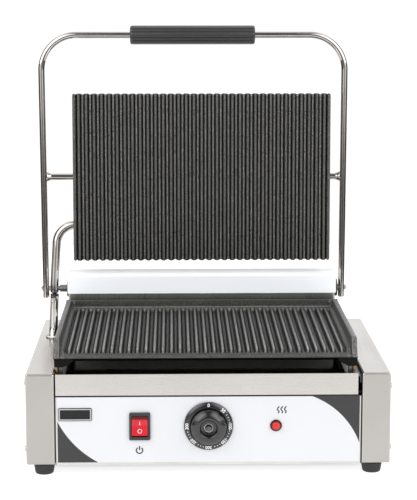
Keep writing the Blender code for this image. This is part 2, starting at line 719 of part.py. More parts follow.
# Terminal block on the floor
POST_COUNT = 3
POST_RADIUS = 0.0045
POST_HEIGHT = 0.004
terminal_seat = FLOOR_Z + SHEET + GAP
bm = bmesh.new()
half = TERMINAL_SIZE / 2
add_box(
    bm,
    (TERMINAL_X - half.x, TERMINAL_Y - half.y, terminal_seat),
    (TERMINAL_X + half.x, TERMINAL_Y + half.y, terminal_seat + TERMINAL_SIZE.z),
)
terminal_block = piece("terminal_block", bm, PANEL)
bm = bmesh.new()
for i in range(POST_COUNT):
    x = TERMINAL_X + (i - (POST_COUNT - 1) / 2) * TERMINAL_SIZE.x / POST_COUNT
    top = terminal_seat + TERMINAL_SIZE.z
    add_rod(bm, (x, TERMINAL_Y, top - OVERRUN), (x, TERMINAL_Y, top + POST_HEIGHT), POST_RADIUS, SCREW_SIDES)
combine(terminal_block, piece("join_terminal_posts", bm), "UNION")


# Drip tray: a shallow pan with a tall front strip whose ends are folded back
tray_half = TRAY_WIDTH / 2
bm = bmesh.new()
tray_top = TRAY_BOTTOM + TRAY_WALL_HEIGHT
add_box(
    bm,
    (TRAY_X - tray_half, -TRAY_SHEET, TRAY_BOTTOM),
    (TRAY_X + tray_half, TRAY_DEPTH, tray_top),
)
drip_tray = piece("drip_tray", bm, STEEL)
bm = bmesh.new()
add_box(
    bm,
    (TRAY_X - tray_half + TRAY_SHEET, 0, TRAY_BOTTOM + TRAY_SHEET),
    (TRAY_X + tray_half - TRAY_SHEET, TRAY_DEPTH - TRAY_SHEET, tray_top + OVERRUN),
)
combine(drip_tray, piece("cut_tray_hollow", bm), "DIFFERENCE")
bm = bmesh.new()
strip = [
    (TRAY_X - tray_half, TRAY_RETURN),
    (TRAY_X - tray_half, -TRAY_SHEET),
    (TRAY_X + tray_half, -TRAY_SHEET),
    (TRAY_X + tray_half, TRAY_RETURN),
    (TRAY_X + tray_half - TRAY_SHEET, TRAY_RETURN),
    (TRAY_X + tray_half - TRAY_SHEET, 0),
    (TRAY_X - tray_half + TRAY_SHEET, 0),
    (TRAY_X - tray_half + TRAY_SHEET, TRAY_RETURN),
]
add_prism(bm, strip, "Z", TRAY_BOTTOM + TRAY_SHEET, TRAY_FRONT_TOP)
combine(drip_tray, piece("join_tray_strip", bm), "UNION")

# Two runners carry the tray
for side in FACES:
    bm = bmesh.new()
    edges = sorted((side * SPAN, side * (SPAN - RUNNER_WIDTH)))
    start = PANEL_FLANGE + GAP
    add_box(bm, (edges[0], start, PANEL_TOP - SHEET), (edges[1], RUNNER_DEPTH, TRAY_BOTTOM - GAP))
    piece("tray_runner_" + SIDE_NAMES[side], bm, STEEL)


def rib_columns(centre):
    """Places across the ribbed field: valley foot, crest, crest, valley foot of every rib, as (x, raised)."""
    columns = []
    for i in range(RIB_COUNT):
        x = centre + i * RIB_PITCH - HALF_RIBS
        half_crest = RIB_CREST / 2
        columns += [
            (x - half_crest - RIB_FLANK, 0),
            (x - half_crest, 1),
            (x + half_crest, 1),
            (x + half_crest + RIB_FLANK, 0),
        ]
    return columns


def skin(bm, rows):
    """Quads between rows of points, with the rows' outer loop returned in order."""
    grid = [[bm.verts.new(p) for p in row] for row in rows]
    for low, high in zip(grid, grid[1:]):
        for i in range(len(low) - 1):
            bm.faces.new((low[i], low[i + 1], high[i + 1], high[i]))
    left = [row[0] for row in reversed(grid)][1:-1]
    right = [row[-1] for row in grid][1:-1]
    return grid[0] + right + list(reversed(grid[-1])) + left


def close_below(bm, loop, levels):
    """Walls down from a loop through the loops that each level gives, and a flat face to close the last."""
    last = loop
    for level in levels:
        ring = [bm.verts.new(level(v.co)) for v in loop]
        for i in range(len(ring)):
            k = (i + 1) % len(ring)
            bm.faces.new((last[i], last[k], ring[k], ring[i]))
        last = ring
    bm.faces.new(last)


# Lower casting: ribs that rise to the back, a rim with a ledge inside it on three sides, a lip at the front,
# where the ribs run out, and four lugs
RUN_OUT_SHARES = ((0.0, 0.0), (0.35, 0.72), (1.0, 1.0))
rim_top_half = HALF_LOWER - LOWER_RIM_DRAFT
rim_inner_half = rim_top_half - LOWER_RIM_THICKNESS
ledge_outer = rim_inner_half - LOWER_RIM_DRAFT / 2
ledge_inner = ledge_outer - LOWER_LEDGE_WIDTH
gutter = ledge_inner - LOWER_LEDGE_FLANK
rear_inner = LOWER_REAR - LOWER_RIM_DRAFT - LOWER_RIM_THICKNESS


def crest_level(y):
    """Height of the ribs' crests, which rise to the back."""
    return LOWER_CREST_Z + LOWER_FIELD_SLOPE * (y - LOWER_RIB_FRONT) / (LOWER_RIB_REAR - LOWER_RIB_FRONT)


def lower_row(y, floor, crest, rim):
    """One row of points across the casting: rim, ledge, ribs and the same again."""
    side = [(rim_top_half, rim), (rim_inner_half, rim)]
    side += [(ledge_outer, crest), (ledge_inner, crest), (gutter, floor)]
    row = [(PLATE_X - x, y, z) for x, z in side]
    row += [(x, y, crest if raised else floor) for x, raised in rib_columns(PLATE_X)]
    row += [(PLATE_X + x, y, z) for x, z in reversed(side)]
    return row


rows = [lower_row(LOWER_FRONT, LOWER_LIP_TOP, LOWER_LIP_TOP, LOWER_LIP_TOP)]
for along, up in RUN_OUT_SHARES:
    y = LOWER_RIB_FRONT + along * RIB_RUN_OUT
    rim_share = min(1.0, (y - LOWER_FRONT) / LOWER_RIM_FRONT_SLOPE)
    rim = LOWER_LIP_TOP + (LOWER_RIM_TOP - LOWER_LIP_TOP) * rim_share
    floor = crest_level(y) - RIB_DEPTH
    rows.append(lower_row(y, floor, floor + RIB_DEPTH * up, rim))
y = LOWER_RIB_REAR - LOWER_GROOVE_RAMP
rows.append(lower_row(y, crest_level(y) - RIB_DEPTH, crest_level(y), LOWER_RIM_TOP))
ledge = crest_level(LOWER_RIB_REAR)
rows.append(lower_row(LOWER_RIB_REAR, ledge, ledge, LOWER_RIM_TOP))
rows.append(lower_row(rear_inner - LOWER_RIM_DRAFT / 2, ledge, ledge, LOWER_RIM_TOP))
rows.append(lower_row(rear_inner, LOWER_RIM_TOP, LOWER_RIM_TOP, LOWER_RIM_TOP))
rows.append(lower_row(LOWER_REAR - LOWER_RIM_DRAFT, LOWER_RIM_TOP, LOWER_RIM_TOP, LOWER_RIM_TOP))
bm = bmesh.new()
loop = skin(bm, rows)
plate_middle = Vector((PLATE_X, (LOWER_FRONT + LOWER_REAR) / 2))
plate_half = Vector((HALF_LOWER, (LOWER_REAR - LOWER_FRONT) / 2))
top_half = Vector((rim_top_half, plate_half.y - LOWER_RIM_DRAFT / 2))
top_middle = Vector((PLATE_X, plate_middle.y - LOWER_RIM_DRAFT / 2))


def lower_outline(co, inset, z):
    """A point of the casting's top edge moved out to its skirt, less an inset."""
    share = Vector(((co.x - top_middle.x) / top_half.x, (co.y - top_middle.y) / top_half.y))
    return (
        plate_middle.x + share.x * (plate_half.x - inset),
        plate_middle.y + share.y * (plate_half.y - inset),
        z,
    )


close_below(
    bm,
    loop,
    (
        lambda co: lower_outline(co, 0, LOWER_LIP_BOTTOM),
        lambda co: lower_outline(co, LOWER_UNDERSIDE_INSET, LOWER_UNDERSIDE),
    ),
)
lower_plate = piece("lower_plate", bm, IRON)
bm = bmesh.new()
for side in FACES:
    x_out = PLATE_X + side * LUG_OUTER
    outline = [
        (x_out, LOWER_LIP_BOTTOM + GAP),
        (x_out - side * GAP, LUG_BOTTOM),
        (x_out - side * LUG_BOTTOM_WIDTH, LUG_BOTTOM),
        (x_out - side * LUG_TOP_WIDTH, LOWER_UNDERSIDE + GAP),
        (x_out - side * LUG_TOP_WIDTH, LOWER_LIP_BOTTOM + GAP),
    ]
    for front, rear in LUG_ROWS:
        add_prism(bm, outline, "Y", front, rear)
combine(lower_plate, piece("join_lugs", bm), "UNION")
stud_places = {}
for side in FACES:
    x = PLATE_X + side * (LUG_OUTER - STUD_SIDE_INSET)
    stud_places[side] = [Vector((x, (front + rear) / 2, 0)) for front, rear in LUG_ROWS]
bm = bmesh.new()
for place in stud_places[-1] + stud_places[1]:
    low = place + Vector((0, 0, LUG_BOTTOM - OVERRUN))
    high = place + Vector((0, 0, LUG_BOTTOM + STUD_ENGAGEMENT + GAP))
    add_rod(bm, low, high, STUD_RADIUS + GAP, SCREW_SIDES)
combine(lower_plate, piece("cut_stud_holes", bm), "DIFFERENCE")


# Rails on the housings' inner walls, each with two spacers welded on, one in front of each stud
for side in FACES:
    rail_edge = PLATE_X + side * RAIL_INNER
    bm = bmesh.new()
    outline = [
        (side * SPAN, RAIL_TOP - RAIL_DROP),
        (side * SPAN, RAIL_TOP),
        (rail_edge, RAIL_TOP),
        (rail_edge, RAIL_TOP - SHEET),
        (side * (SPAN - SHEET), RAIL_TOP - SHEET),
        (side * (SPAN - SHEET), RAIL_TOP - RAIL_DROP),
    ]
    add_prism(bm, outline, "Y", LOWER_FRONT + LUG_FRONT_INSET, LOWER_REAR)
    plate_rail = piece("plate_rail_" + SIDE_NAMES[side], bm, STEEL)
    beside_stud = PLATE_X + side * (LUG_OUTER - STUD_SIDE_INSET - STUD_RADIUS - GAP)
    edges = sorted((beside_stud, beside_stud - side * SUPPORT_WIDTH))
    bm = bmesh.new()
    for front, rear in LUG_ROWS:
        lo = (edges[0], front + SUPPORT_FRONT_INSET, RAIL_TOP - SHEET / 2)
        add_box(bm, lo, (edges[1], (front + rear) / 2 - NUT_RADIUS - GAP, LUG_BOTTOM - GAP))
    combine(plate_rail, piece("join_spacers", bm), "UNION")

# Brass studs that stand on the rails, each with a nut under its lug
stud_foot = RAIL_TOP + GAP
nut_top = LUG_BOTTOM - GAP
profile = [
    (0, stud_foot),
    (STUD_RADIUS, stud_foot),
    (STUD_RADIUS, nut_top - NUT_HEIGHT),
    (NUT_RADIUS, nut_top - NUT_HEIGHT),
    (NUT_RADIUS, nut_top),
    (STUD_RADIUS, nut_top),
    (STUD_RADIUS, LUG_BOTTOM + STUD_ENGAGEMENT),
    (0, LUG_BOTTOM + STUD_ENGAGEMENT),
]
for side in FACES:
    for row, place in zip(("front", "rear"), stud_places[side]):
        bm = bmesh.new()
        add_turned(bm, profile, (0, 0, 0), (0, 0, 1), NUT_SIDES)
        stud = piece(f"plate_stud_{row}_{SIDE_NAMES[side]}", bm, BRASS, location=place)
        stud.rotation_euler.z = math.pi / NUT_SIDES


def serpentine(reach, pitch, place):
    """A heater's path: parallel passes joined by half circles, placed by a function of (across, along)."""
    path = []
    half_width = reach - pitch / 2
    for i in range(ELEMENT_PASSES):
        along = (i - (ELEMENT_PASSES - 1) / 2) * pitch
        side = 1 if i % 2 == 0 else -1
        path.append((-side * half_width, along))
        if i == ELEMENT_PASSES - 1:
            path.append((side * half_width, along))
            continue
        for k in range(ELEMENT_BEND_STEPS + 1):
            angle = -math.pi / 2 + math.pi * k / ELEMENT_BEND_STEPS
            across = side * (half_width + pitch / 2 * math.cos(angle))
            path.append((across, along + pitch / 2 * (1 + math.sin(angle))))
    clean = [path[0]]
    for point in path[1:]:
        if math.dist(point, clean[-1]) > GAP:
            clean.append(point)
    return [place(*point) for point in clean]


# Lower heater under the casting, and the pan below it that hangs from the rails
element_z = LOWER_UNDERSIDE - GAP - ELEMENT_RADIUS
bm = bmesh.new()
path = serpentine(
    HALF_LOWER - LOWER_ELEMENT_INSET,
    (plate_half.y - LOWER_ELEMENT_END_INSET) * 2 / (ELEMENT_PASSES - 1),
    lambda across, along: Vector((PLATE_X + across, plate_middle.y + along, element_z)),
)
add_swept(bm, path, ELEMENT_RADIUS, ELEMENT_SIDES)
piece("lower_element", bm, DARK_SHEET, smooth=ROUND)

brim_half = RAIL_INNER + SHIELD_BRIM
shield_brim_z = RAIL_TOP + GAP
shield_top = shield_brim_z + SHIELD_SHEET
shield_bottom = shield_brim_z - SHIELD_DEPTH
bm = bmesh.new()
shield_wall = SHIELD_HALF + SHIELD_SHEET
half_section = [
    (SHIELD_HALF, shield_bottom + SHIELD_SHEET),
    (SHIELD_HALF, shield_top),
    (brim_half, shield_top),
    (brim_half, shield_brim_z),
    (shield_wall, shield_brim_z),
    (shield_wall, shield_bottom),
]
outline = [(PLATE_X + x, z) for x, z in half_section]
outline += [(PLATE_X - x, z) for x, z in reversed(half_section)]
add_prism(bm, outline, "Y", SHIELD_FRONT, SHIELD_REAR)
heat_shield = piece("heat_shield", bm, DARK_SHEET)
bm = bmesh.new()
for edge in (SHIELD_FRONT, SHIELD_REAR - SHIELD_SHEET):
    reach = SHIELD_HALF + SHIELD_SHEET / 2
    lo = (PLATE_X - reach, edge, shield_bottom + SHIELD_SHEET / 2)
    hi = (PLATE_X + reach, edge + SHIELD_SHEET, element_z - ELEMENT_RADIUS - RUNNING_GAP)
    add_box(bm, lo, hi)
combine(heat_shield, piece("join_shield_ends", bm), "UNION")


# Hinge bracket: a folded channel that stands on the deck, open to the back
bm = bmesh.new()
bracket_rear = BRACKET_FRONT + BRACKET_DEPTH
bracket_top = COVER_TOP - COVER_EDGE_RADIUS - GAP
b_lo, b_hi = PLATE_X - BRACKET_HALF, PLATE_X + BRACKET_HALF
inner_lo, inner_hi = b_lo + BRACKET_SHEET, b_hi - BRACKET_SHEET
inner_front = BRACKET_FRONT + BRACKET_SHEET
outline = [
    (b_lo + BRACKET_BEND, BRACKET_FRONT),
    (b_hi - BRACKET_BEND, BRACKET_FRONT),
    (b_hi, BRACKET_FRONT + BRACKET_BEND),
    (b_hi, bracket_rear),
    (inner_hi, bracket_rear),
    (inner_hi, inner_front + BRACKET_BEND / 2),
    (inner_hi - BRACKET_BEND / 2, inner_front),
    (inner_lo + BRACKET_BEND / 2, inner_front),
    (inner_lo, inner_front + BRACKET_BEND / 2),
    (inner_lo, bracket_rear),
    (b_lo, bracket_rear),
    (b_lo, BRACKET_FRONT + BRACKET_BEND),
]
add_prism(bm, outline, "Z", BASE_TOP + GAP, bracket_top)
hinge_bracket = piece("hinge_bracket", bm, STEEL)
BRACKET_FOOT = 0.016
bm = bmesh.new()
lo = (b_lo + BRACKET_SHEET / 2, BRACKET_FRONT + BRACKET_SHEET / 2, BASE_TOP + GAP)
hi = (b_hi - BRACKET_SHEET / 2, BRACKET_FRONT + BRACKET_FOOT, BASE_TOP + GAP + BRACKET_SHEET)
add_box(bm, lo, hi)
combine(hinge_bracket, piece("join_bracket_foot", bm), "UNION")
bm = bmesh.new()
for x in (b_lo, b_hi):
    for_bush = [(x + e, HINGE_Y, HINGE_Z) for e in (-OVERRUN, OVERRUN)]
    add_rod(bm, for_bush[0], for_bush[1], BUSH_RADIUS + GAP)
combine(hinge_bracket, piece("cut_bush_holes", bm), "DIFFERENCE")

# Bushes in the bracket's cheeks, flanged on the inside
bush_bore = SHAFT_RADIUS + RUNNING_GAP
bush_profile = [
    (bush_bore, -GAP - BUSH_FLANGE),
    (BUSH_FLANGE_RADIUS, -GAP - BUSH_FLANGE),
    (BUSH_FLANGE_RADIUS, -GAP),
    (BUSH_RADIUS, -GAP),
    (BUSH_RADIUS, BRACKET_SHEET),
    (bush_bore, BRACKET_SHEET),
]
for side, cheek in zip(FACES, (b_lo, b_hi)):
    inner_face = Vector((cheek - side * BRACKET_SHEET, HINGE_Y, HINGE_Z))
    bm = bmesh.new()
    add_turned(bm, bush_profile, inner_face, (side, 0, 0), ROUND_SIDES, loop=True)
    piece("shaft_bush_" + SIDE_NAMES[side], bm, BRASS, smooth=ROUND)

# Cover over the hinge: a short skirt in front, a long one behind with narrow returns, and a slot in each end
# that clears the shaft
bm = bmesh.new()
c_lo, c_hi = PLATE_X - COVER_HALF, PLATE_X + COVER_HALF
add_box(bm, (c_lo, COVER_FRONT, BASE_TOP - COVER_EDGE_RADIUS * 2), (c_hi, COVER_REAR, COVER_TOP))
hinge_cover = piece("hinge_cover", bm, COVER_WHITE)
round_edges(hinge_cover, COVER_EDGE_RADIUS, 2)
bm = bmesh.new()
lo = (c_lo + COVER_SHEET, COVER_FRONT + COVER_SHEET, BASE_TOP - COVER_EDGE_RADIUS * 3)
hi = (c_hi - COVER_SHEET, COVER_REAR - COVER_SHEET, COVER_TOP - COVER_SHEET)
add_box(bm, lo, hi)
hollow = piece("cut_cover_hollow", bm)
round_edges(hollow, COVER_EDGE_RADIUS - COVER_SHEET, 2)
combine(hinge_cover, hollow, "DIFFERENCE")
bm = bmesh.new()
outline = [
    (COVER_FRONT - OVERRUN, BASE_TOP - COVER_EDGE_RADIUS * 4),
    (COVER_FRONT - OVERRUN, COVER_SKIRT_Z),
    (COVER_REAR - COVER_RETURN, COVER_SKIRT_Z),
    (COVER_REAR - COVER_RETURN, BASE_TOP + GAP),
    (COVER_REAR + OVERRUN, BASE_TOP + GAP),
    (COVER_REAR + OVERRUN, BASE_TOP - COVER_EDGE_RADIUS * 4),
]
add_prism(bm, outline, "X", c_lo - OVERRUN, c_hi + OVERRUN)
combine(hinge_cover, piece("cut_cover_below", bm), "DIFFERENCE")
bm = bmesh.new()
half_slot = COVER_SLOT_WIDTH / 2
lo = (c_lo - OVERRUN, HINGE_Y - half_slot, COVER_SKIRT_Z - OVERRUN)
add_box(bm, lo, (c_hi + OVERRUN, HINGE_Y + half_slot, HINGE_Z + half_slot))
combine(hinge_cover, piece("cut_cover_slots", bm), "DIFFERENCE")


# Lid frame's axis, and everything that turns on it
frame_axis = anchor("lid_frame_axis", (0, HINGE_Y, HINGE_Z), tilt=-LEAN_BACK)

# Hinge shaft: a thin spigot on the left carries the wiring tube, both ends are drilled for the rod screws
SPIGOT_END = CONDUIT_X + BALL_RADIUS + GAP
SHAFT_BORE_DEPTH = 0.009
bore = SCREW_SHANK_RADIUS + GAP
profile = [
    (0, SHAFT_LEFT + SHAFT_BORE_DEPTH),
    (bore, SHAFT_LEFT + SHAFT_BORE_DEPTH),
    (bore, SHAFT_LEFT),
    (SPIGOT_RADIUS, SHAFT_LEFT),
    (SPIGOT_RADIUS, SPIGOT_END),
    (SHAFT_RADIUS, SPIGOT_END),
    (SHAFT_RADIUS, SHAFT_RIGHT),
    (bore, SHAFT_RIGHT),
    (bore, SHAFT_RIGHT - SHAFT_BORE_DEPTH),
    (0, SHAFT_RIGHT - SHAFT_BORE_DEPTH),
]
bm = bmesh.new()
add_turned(bm, profile, (0, 0, 0), (1, 0, 0), ROUND_SIDES)
piece("hinge_shaft", bm, STEEL, frame_axis, smooth=ROUND)

# Collars that take the springs' moving ends, and the torsion springs, whose legs lie on the bracket's front
# wall
collar_bore = SHAFT_RADIUS + GAP
collar_profile = [
    (collar_bore, 0),
    (COLLAR_RADIUS, 0),
    (COLLAR_RADIUS, COLLAR_LENGTH),
    (collar_bore, COLLAR_LENGTH),
]
leg_y = BRACKET_FRONT + BRACKET_SHEET + GAP + SPRING_WIRE_RADIUS
for side in FACES:
    x = PLATE_X + side * (BRACKET_HALF - SPRING_INSET)
    bm = bmesh.new()
    add_turned(bm, collar_profile, (x, 0, 0), (-side, 0, 0), ROUND_SIDES, loop=True)
    piece("spring_collar_" + SIDE_NAMES[side], bm, STEEL, frame_axis, smooth=ROUND)
    x += side * (GAP + SPRING_WIRE_RADIUS)
    path = []
    for i in range(SPRING_TURNS * SPRING_STEPS + 1):
        angle = math.tau * i / SPRING_STEPS
        y, z = -SPRING_RADIUS * math.sin(angle), SPRING_RADIUS * math.cos(angle)
        path.append((x + side * SPRING_PITCH * i / SPRING_STEPS, HINGE_Y + y, HINGE_Z + z))
    path.append((path[-1][0], leg_y, HINGE_Z + SPRING_RADIUS))
    bm = bmesh.new()
    add_swept(bm, path, SPRING_WIRE_RADIUS, SPRING_SIDES)
    piece("hinge_spring_" + SIDE_NAMES[side], bm, STEEL, smooth=ROUND)

# Handle frame: one rod, bent twice, with cross holes in its tails
bm = bmesh.new()
top_left = (ROD_LEFT_X - ROD_SPLAYS[-1], 0, BAR_HEIGHT)
top_right = (ROD_RIGHT_X + ROD_SPLAYS[1], 0, BAR_HEIGHT)
corners = [(ROD_LEFT_X, 0, -ROD_TAIL), top_left, top_right, (ROD_RIGHT_X, 0, -ROD_TAIL)]
add_swept(bm, bent_path(corners, BAR_CORNER_RADIUS, BAR_CORNER_STEPS), ROD_RADIUS, ROD_SIDES)
handle_frame = piece("handle_frame", bm, CHROME, frame_axis, smooth=ROUND)
bm = bmesh.new()
for x in (ROD_LEFT_X, ROD_RIGHT_X):
    hole_reach = ROD_RADIUS + OVERRUN
    add_rod(bm, (x - hole_reach, 0, 0), (x + hole_reach, 0, 0), SCREW_SHANK_RADIUS + GAP, SCREW_SIDES)
combine(handle_frame, piece("cut_rod_holes", bm, parent=frame_axis), "DIFFERENCE")

# Screws through the tails into the shaft
rod_screw_shank = 2 * ROD_RADIUS + SHAFT_BORE_DEPTH - GAP * 2
for side, rod_x in zip(FACES, (ROD_LEFT_X, ROD_RIGHT_X)):
    bm = bmesh.new()
    screw(bm, (rod_x + side * ROD_RADIUS, 0, 0), (side, 0, 0), rod_screw_shank)
    piece("rod_screw_" + SIDE_NAMES[side], bm, STEEL, frame_axis, smooth=ROUND)

# Grip on the bar
grip_middle = (ROD_LEFT_X + ROD_RIGHT_X) / 2
bm = bmesh.new()
stations = (
    (-GRIP_LENGTH / 2, GRIP_END_ROUND),
    (-GRIP_LENGTH / 2 + GRIP_END_ROUND, 0),
    (GRIP_LENGTH / 2 - GRIP_END_ROUND, 0),
    (GRIP_LENGTH / 2, GRIP_END_ROUND),
)
rings = []
for x, less in stations:
    ring = []
    for i in range(2 * GRIP_GROOVES):
        radius = GRIP_RADIUS - less - (GRIP_GROOVE_DEPTH if i % 2 else 0)
        angle = math.pi * i / GRIP_GROOVES
        y, z = radius * math.cos(angle), radius * math.sin(angle)
        ring.append(bm.verts.new((grip_middle + x, y, BAR_HEIGHT + z)))
    rings.append(ring)
for low, high in zip(rings, rings[1:]):
    for i in range(len(low)):
        k = (i + 1) % len(low)
        bm.faces.new((low[i], low[k], high[k], high[i]))
bm.faces.new(rings[0])
bm.faces.new(rings[-1])
handle_grip = piece("handle_grip", bm, BLACK, frame_axis)
bm = bmesh.new()
reach = GRIP_LENGTH / 2 + OVERRUN
grip_ends = [(grip_middle + e, 0, BAR_HEIGHT) for e in (-reach, reach)]
add_rod(bm, grip_ends[0], grip_ends[1], ROD_RADIUS + GAP, ROD_SIDES)
combine(handle_grip, piece("cut_grip_bore", bm, parent=frame_axis), "DIFFERENCE")

# Pivot pins welded to the arms, each with a flare at the weld
splay_share = (PIVOT_HEIGHT + ROD_TAIL) / (BAR_HEIGHT + ROD_TAIL)
PIN_PROUD = 0.0009
PIN_END = LID_BRACKET_X - LID_BRACKET_SHEET - PIN_PROUD
for side, rod_x in zip(FACES, (ROD_LEFT_X, ROD_RIGHT_X)):
    root = rod_x + side * (ROD_SPLAYS[side] * splay_share - ROD_RADIUS - GAP)
    end = PLATE_X + side * PIN_END
    length = abs(root - end)
    profile = [
        (0, 0),
        (PIN_FLARE_RADIUS, 0),
        (PIN_RADIUS, PIN_FLARE_LENGTH),
        (PIN_RADIUS, length),
        (0, length),
    ]
    bm = bmesh.new()
    add_turned(bm, profile, (root, 0, PIVOT_HEIGHT), (-side, 0, 0), ROUND_SIDES)
    piece("pivot_pin_" + SIDE_NAMES[side], bm, CHROME, frame_axis, smooth=ROUND)

# Upper half of the wiring tube: it stands on the spigot, leans back and turns in behind the lid
conduit_top = CONDUIT_BEND_START + CONDUIT_BEND_RADIUS
corners = [
    (CONDUIT_X, 0, -CONDUIT_TAIL),
    (CONDUIT_X, 0, CONDUIT_STRAIGHT),
    (CONDUIT_X + CONDUIT_LEAN_X, CONDUIT_LEAN_Y, conduit_top),
    (CONDUIT_END_X, CONDUIT_LEAN_Y, conduit_top),
]
path = bent_path(corners[1:], CONDUIT_BEND_RADIUS, CONDUIT_BEND_STEPS)
path.insert(0, Vector(corners[0]))
bm = bmesh.new()
add_swept(bm, path, CONDUIT_RADIUS, CONDUIT_SIDES, CONDUIT_BORE_RADIUS)
upper_conduit = piece("upper_conduit", bm, CHROME, frame_axis, smooth=ROUND)
bm = bmesh.new()
reach = CONDUIT_RADIUS + OVERRUN
spigot_hole = [(CONDUIT_X + e, 0, 0) for e in (-reach, reach)]
add_rod(bm, spigot_hole[0], spigot_hole[1], SPIGOT_RADIUS + GAP, ROUND_SIDES)
combine(upper_conduit, piece("cut_spigot_hole", bm, parent=frame_axis), "DIFFERENCE")

# Black ball round the hinge axis, with a plug on top that closes the tube's lower end
BALL_STEPS = 4
bm = bmesh.new()
profile = []
ball_top = CONDUIT_TAIL + GAP
full = math.acos(ball_top / BALL_RADIUS)
for i in range(BALL_STEPS + 1):
    angle = full * i / BALL_STEPS
    profile.append((BALL_RADIUS * math.sin(angle), -BALL_RADIUS * math.cos(angle)))
plug = CONDUIT_BORE_RADIUS - GAP
profile += [(plug, -ball_top), (plug, -BALL_PLUG_TOP), (0, -BALL_PLUG_TOP)]
add_turned(bm, profile, (CONDUIT_X, 0, 0), (0, 0, 1), ROUND_SIDES)
piece("conduit_ball", bm, BLACK, frame_axis, smooth=ROUND)

# Lower half of the wiring tube, from the seal under the ball forward to the left housing
seal_top = HINGE_Z - BALL_RADIUS - RUNNING_GAP
seal_bottom = seal_top - SEAL_HEIGHT
bm = bmesh.new()
corners = [
    (CONDUIT_X, HINGE_Y, seal_bottom - GAP),
    (CONDUIT_X, HINGE_Y, LOWER_CONDUIT_KNEE_Z),
    (LOWER_CONDUIT_FOOT_X, LOWER_CONDUIT_FOOT_Y, BASE_TOP + LOWER_CONDUIT_FOOT_RISE),
    (LOWER_CONDUIT_FOOT_X, LOWER_CONDUIT_FOOT_Y, BASE_TOP + GAP),
]
path = bent_path(corners, LOWER_CONDUIT_BEND, CONDUIT_BEND_STEPS - 2)
add_swept(bm, path, CONDUIT_RADIUS, CONDUIT_SIDES, CONDUIT_BORE_RADIUS)
piece("lower_conduit", bm, CHROME, smooth=ROUND)

bm = bmesh.new()
profile = [
    (SEAL_BORE_RADIUS, seal_bottom),
    (SEAL_RADIUS, seal_bottom),
    (SEAL_RADIUS, seal_top),
    (SEAL_BORE_RADIUS, seal_top),
]
add_turned(bm, profile, (CONDUIT_X, HINGE_Y, 0), (0, 0, 1), ROUND_SIDES, loop=True)
piece("conduit_seal", bm, BLACK, smooth=ROUND)

bm = bmesh.new()
flange_bore = CONDUIT_RADIUS + GAP
collar = CONDUIT_RADIUS + FLANGE_COLLAR
profile = [
    (flange_bore, GAP),
    (FLANGE_RADIUS, GAP),
    (FLANGE_RADIUS, FLANGE_HEIGHT / 2),
    (collar, FLANGE_HEIGHT),
    (flange_bore, FLANGE_HEIGHT),
]
foot = (LOWER_CONDUIT_FOOT_X, LOWER_CONDUIT_FOOT_Y, BASE_TOP)
add_turned(bm, profile, foot, (0, 0, 1), GLAND_SIDES, loop=True)
piece("conduit_flange", bm, CHROME, smooth=ROUND)


# Lid's axis, on the pivot pins
lid_axis = anchor("lid_axis", (0, 0, PIVOT_HEIGHT), frame_axis)

# Upper casting: ribs to the top and bottom edges, which they leave scalloped
half_upper = UPPER_HALF
half_high = UPPER_HEIGHT / 2
upper_valley = UPPER_FACE_Y + RIB_DEPTH


def upper_row(z, at_edge, crest_y, border_y):
    """One row of points across the face. At the edge the valleys are drawn in from the crests."""
    inward = -1 if z > 0 else 1
    corner = UPPER_CORNER * inward if at_edge else 0
    draw = UPPER_SCALLOP * inward if at_edge else 0
    edge = half_upper
    row = [(PLATE_X - edge, border_y, z + corner)]
    row.append((PLATE_X - edge + UPPER_CORNER, crest_y, z + corner * CORNER_SHARE))
    for x, raised in rib_columns(PLATE_X):
        row.append((x, crest_y if raised else upper_valley, z if raised else z + draw))
    row.append((PLATE_X + edge - UPPER_CORNER, crest_y, z + corner * CORNER_SHARE))
    row.append((PLATE_X + edge, border_y, z + corner))
    return row


CORNER_SHARE = 0.3
END_SHARES = ((0.0, 1.0), (0.48, 0.25), (1.0, 0.0))
UPPER_END_LENGTH = 0.007
rows = []
for along, back in END_SHARES:
    crest_y = UPPER_FACE_Y + UPPER_EDGE_ROUND * back
    border_y = UPPER_FACE_Y + UPPER_EDGE_ROUND * max(back, CORNER_SHARE)
    rows.append(upper_row(-half_high + UPPER_END_LENGTH * along, along == 0, crest_y, border_y))
for along, back in reversed(END_SHARES):
    crest_y = UPPER_FACE_Y + UPPER_EDGE_ROUND * back
    border_y = UPPER_FACE_Y + UPPER_EDGE_ROUND * max(back, CORNER_SHARE)
    rows.append(upper_row(half_high - UPPER_END_LENGTH * along, along == 0, crest_y, border_y))
bm = bmesh.new()
loop = skin(bm, rows)
close_below(bm, loop, (lambda co: (co.x, UPPER_BACK_Y, co.z),))
upper_plate = piece("upper_plate", bm, IRON, lid_axis)

# Brackets bolted to the casting's back, which the pivot pins pass
bracket_front = UPPER_BACK_Y + GAP
bracket_leaf = bracket_front + LID_BRACKET_SHEET / 2
for side in FACES:
    outer = PLATE_X + side * LID_BRACKET_X
    foot = outer - side * LID_BRACKET_FOOT
    outline = [
        (outer, bracket_front),
        (outer, LID_BRACKET_EAR_BACK),
        (outer - side * LID_BRACKET_SHEET, LID_BRACKET_EAR_BACK),
        (outer - side * LID_BRACKET_SHEET, bracket_leaf),
        (foot, bracket_leaf),
        (foot, bracket_front),
    ]
    bm = bmesh.new()
    add_prism(bm, outline, "Z", -LID_BRACKET_HEIGHT / 2, LID_BRACKET_HEIGHT / 2)
    lid_bracket = piece("lid_bracket_" + SIDE_NAMES[side], bm, STEEL, lid_axis)
    ear = (outer + side * OVERRUN, outer - side * (LID_BRACKET_SHEET + OVERRUN))
    bm = bmesh.new()
    add_rod(bm, (ear[0], 0, 0), (ear[1], 0, 0), PIN_RADIUS + RUNNING_GAP)
    combine(lid_bracket, piece("cut_ear", bm, parent=lid_axis), "DIFFERENCE")

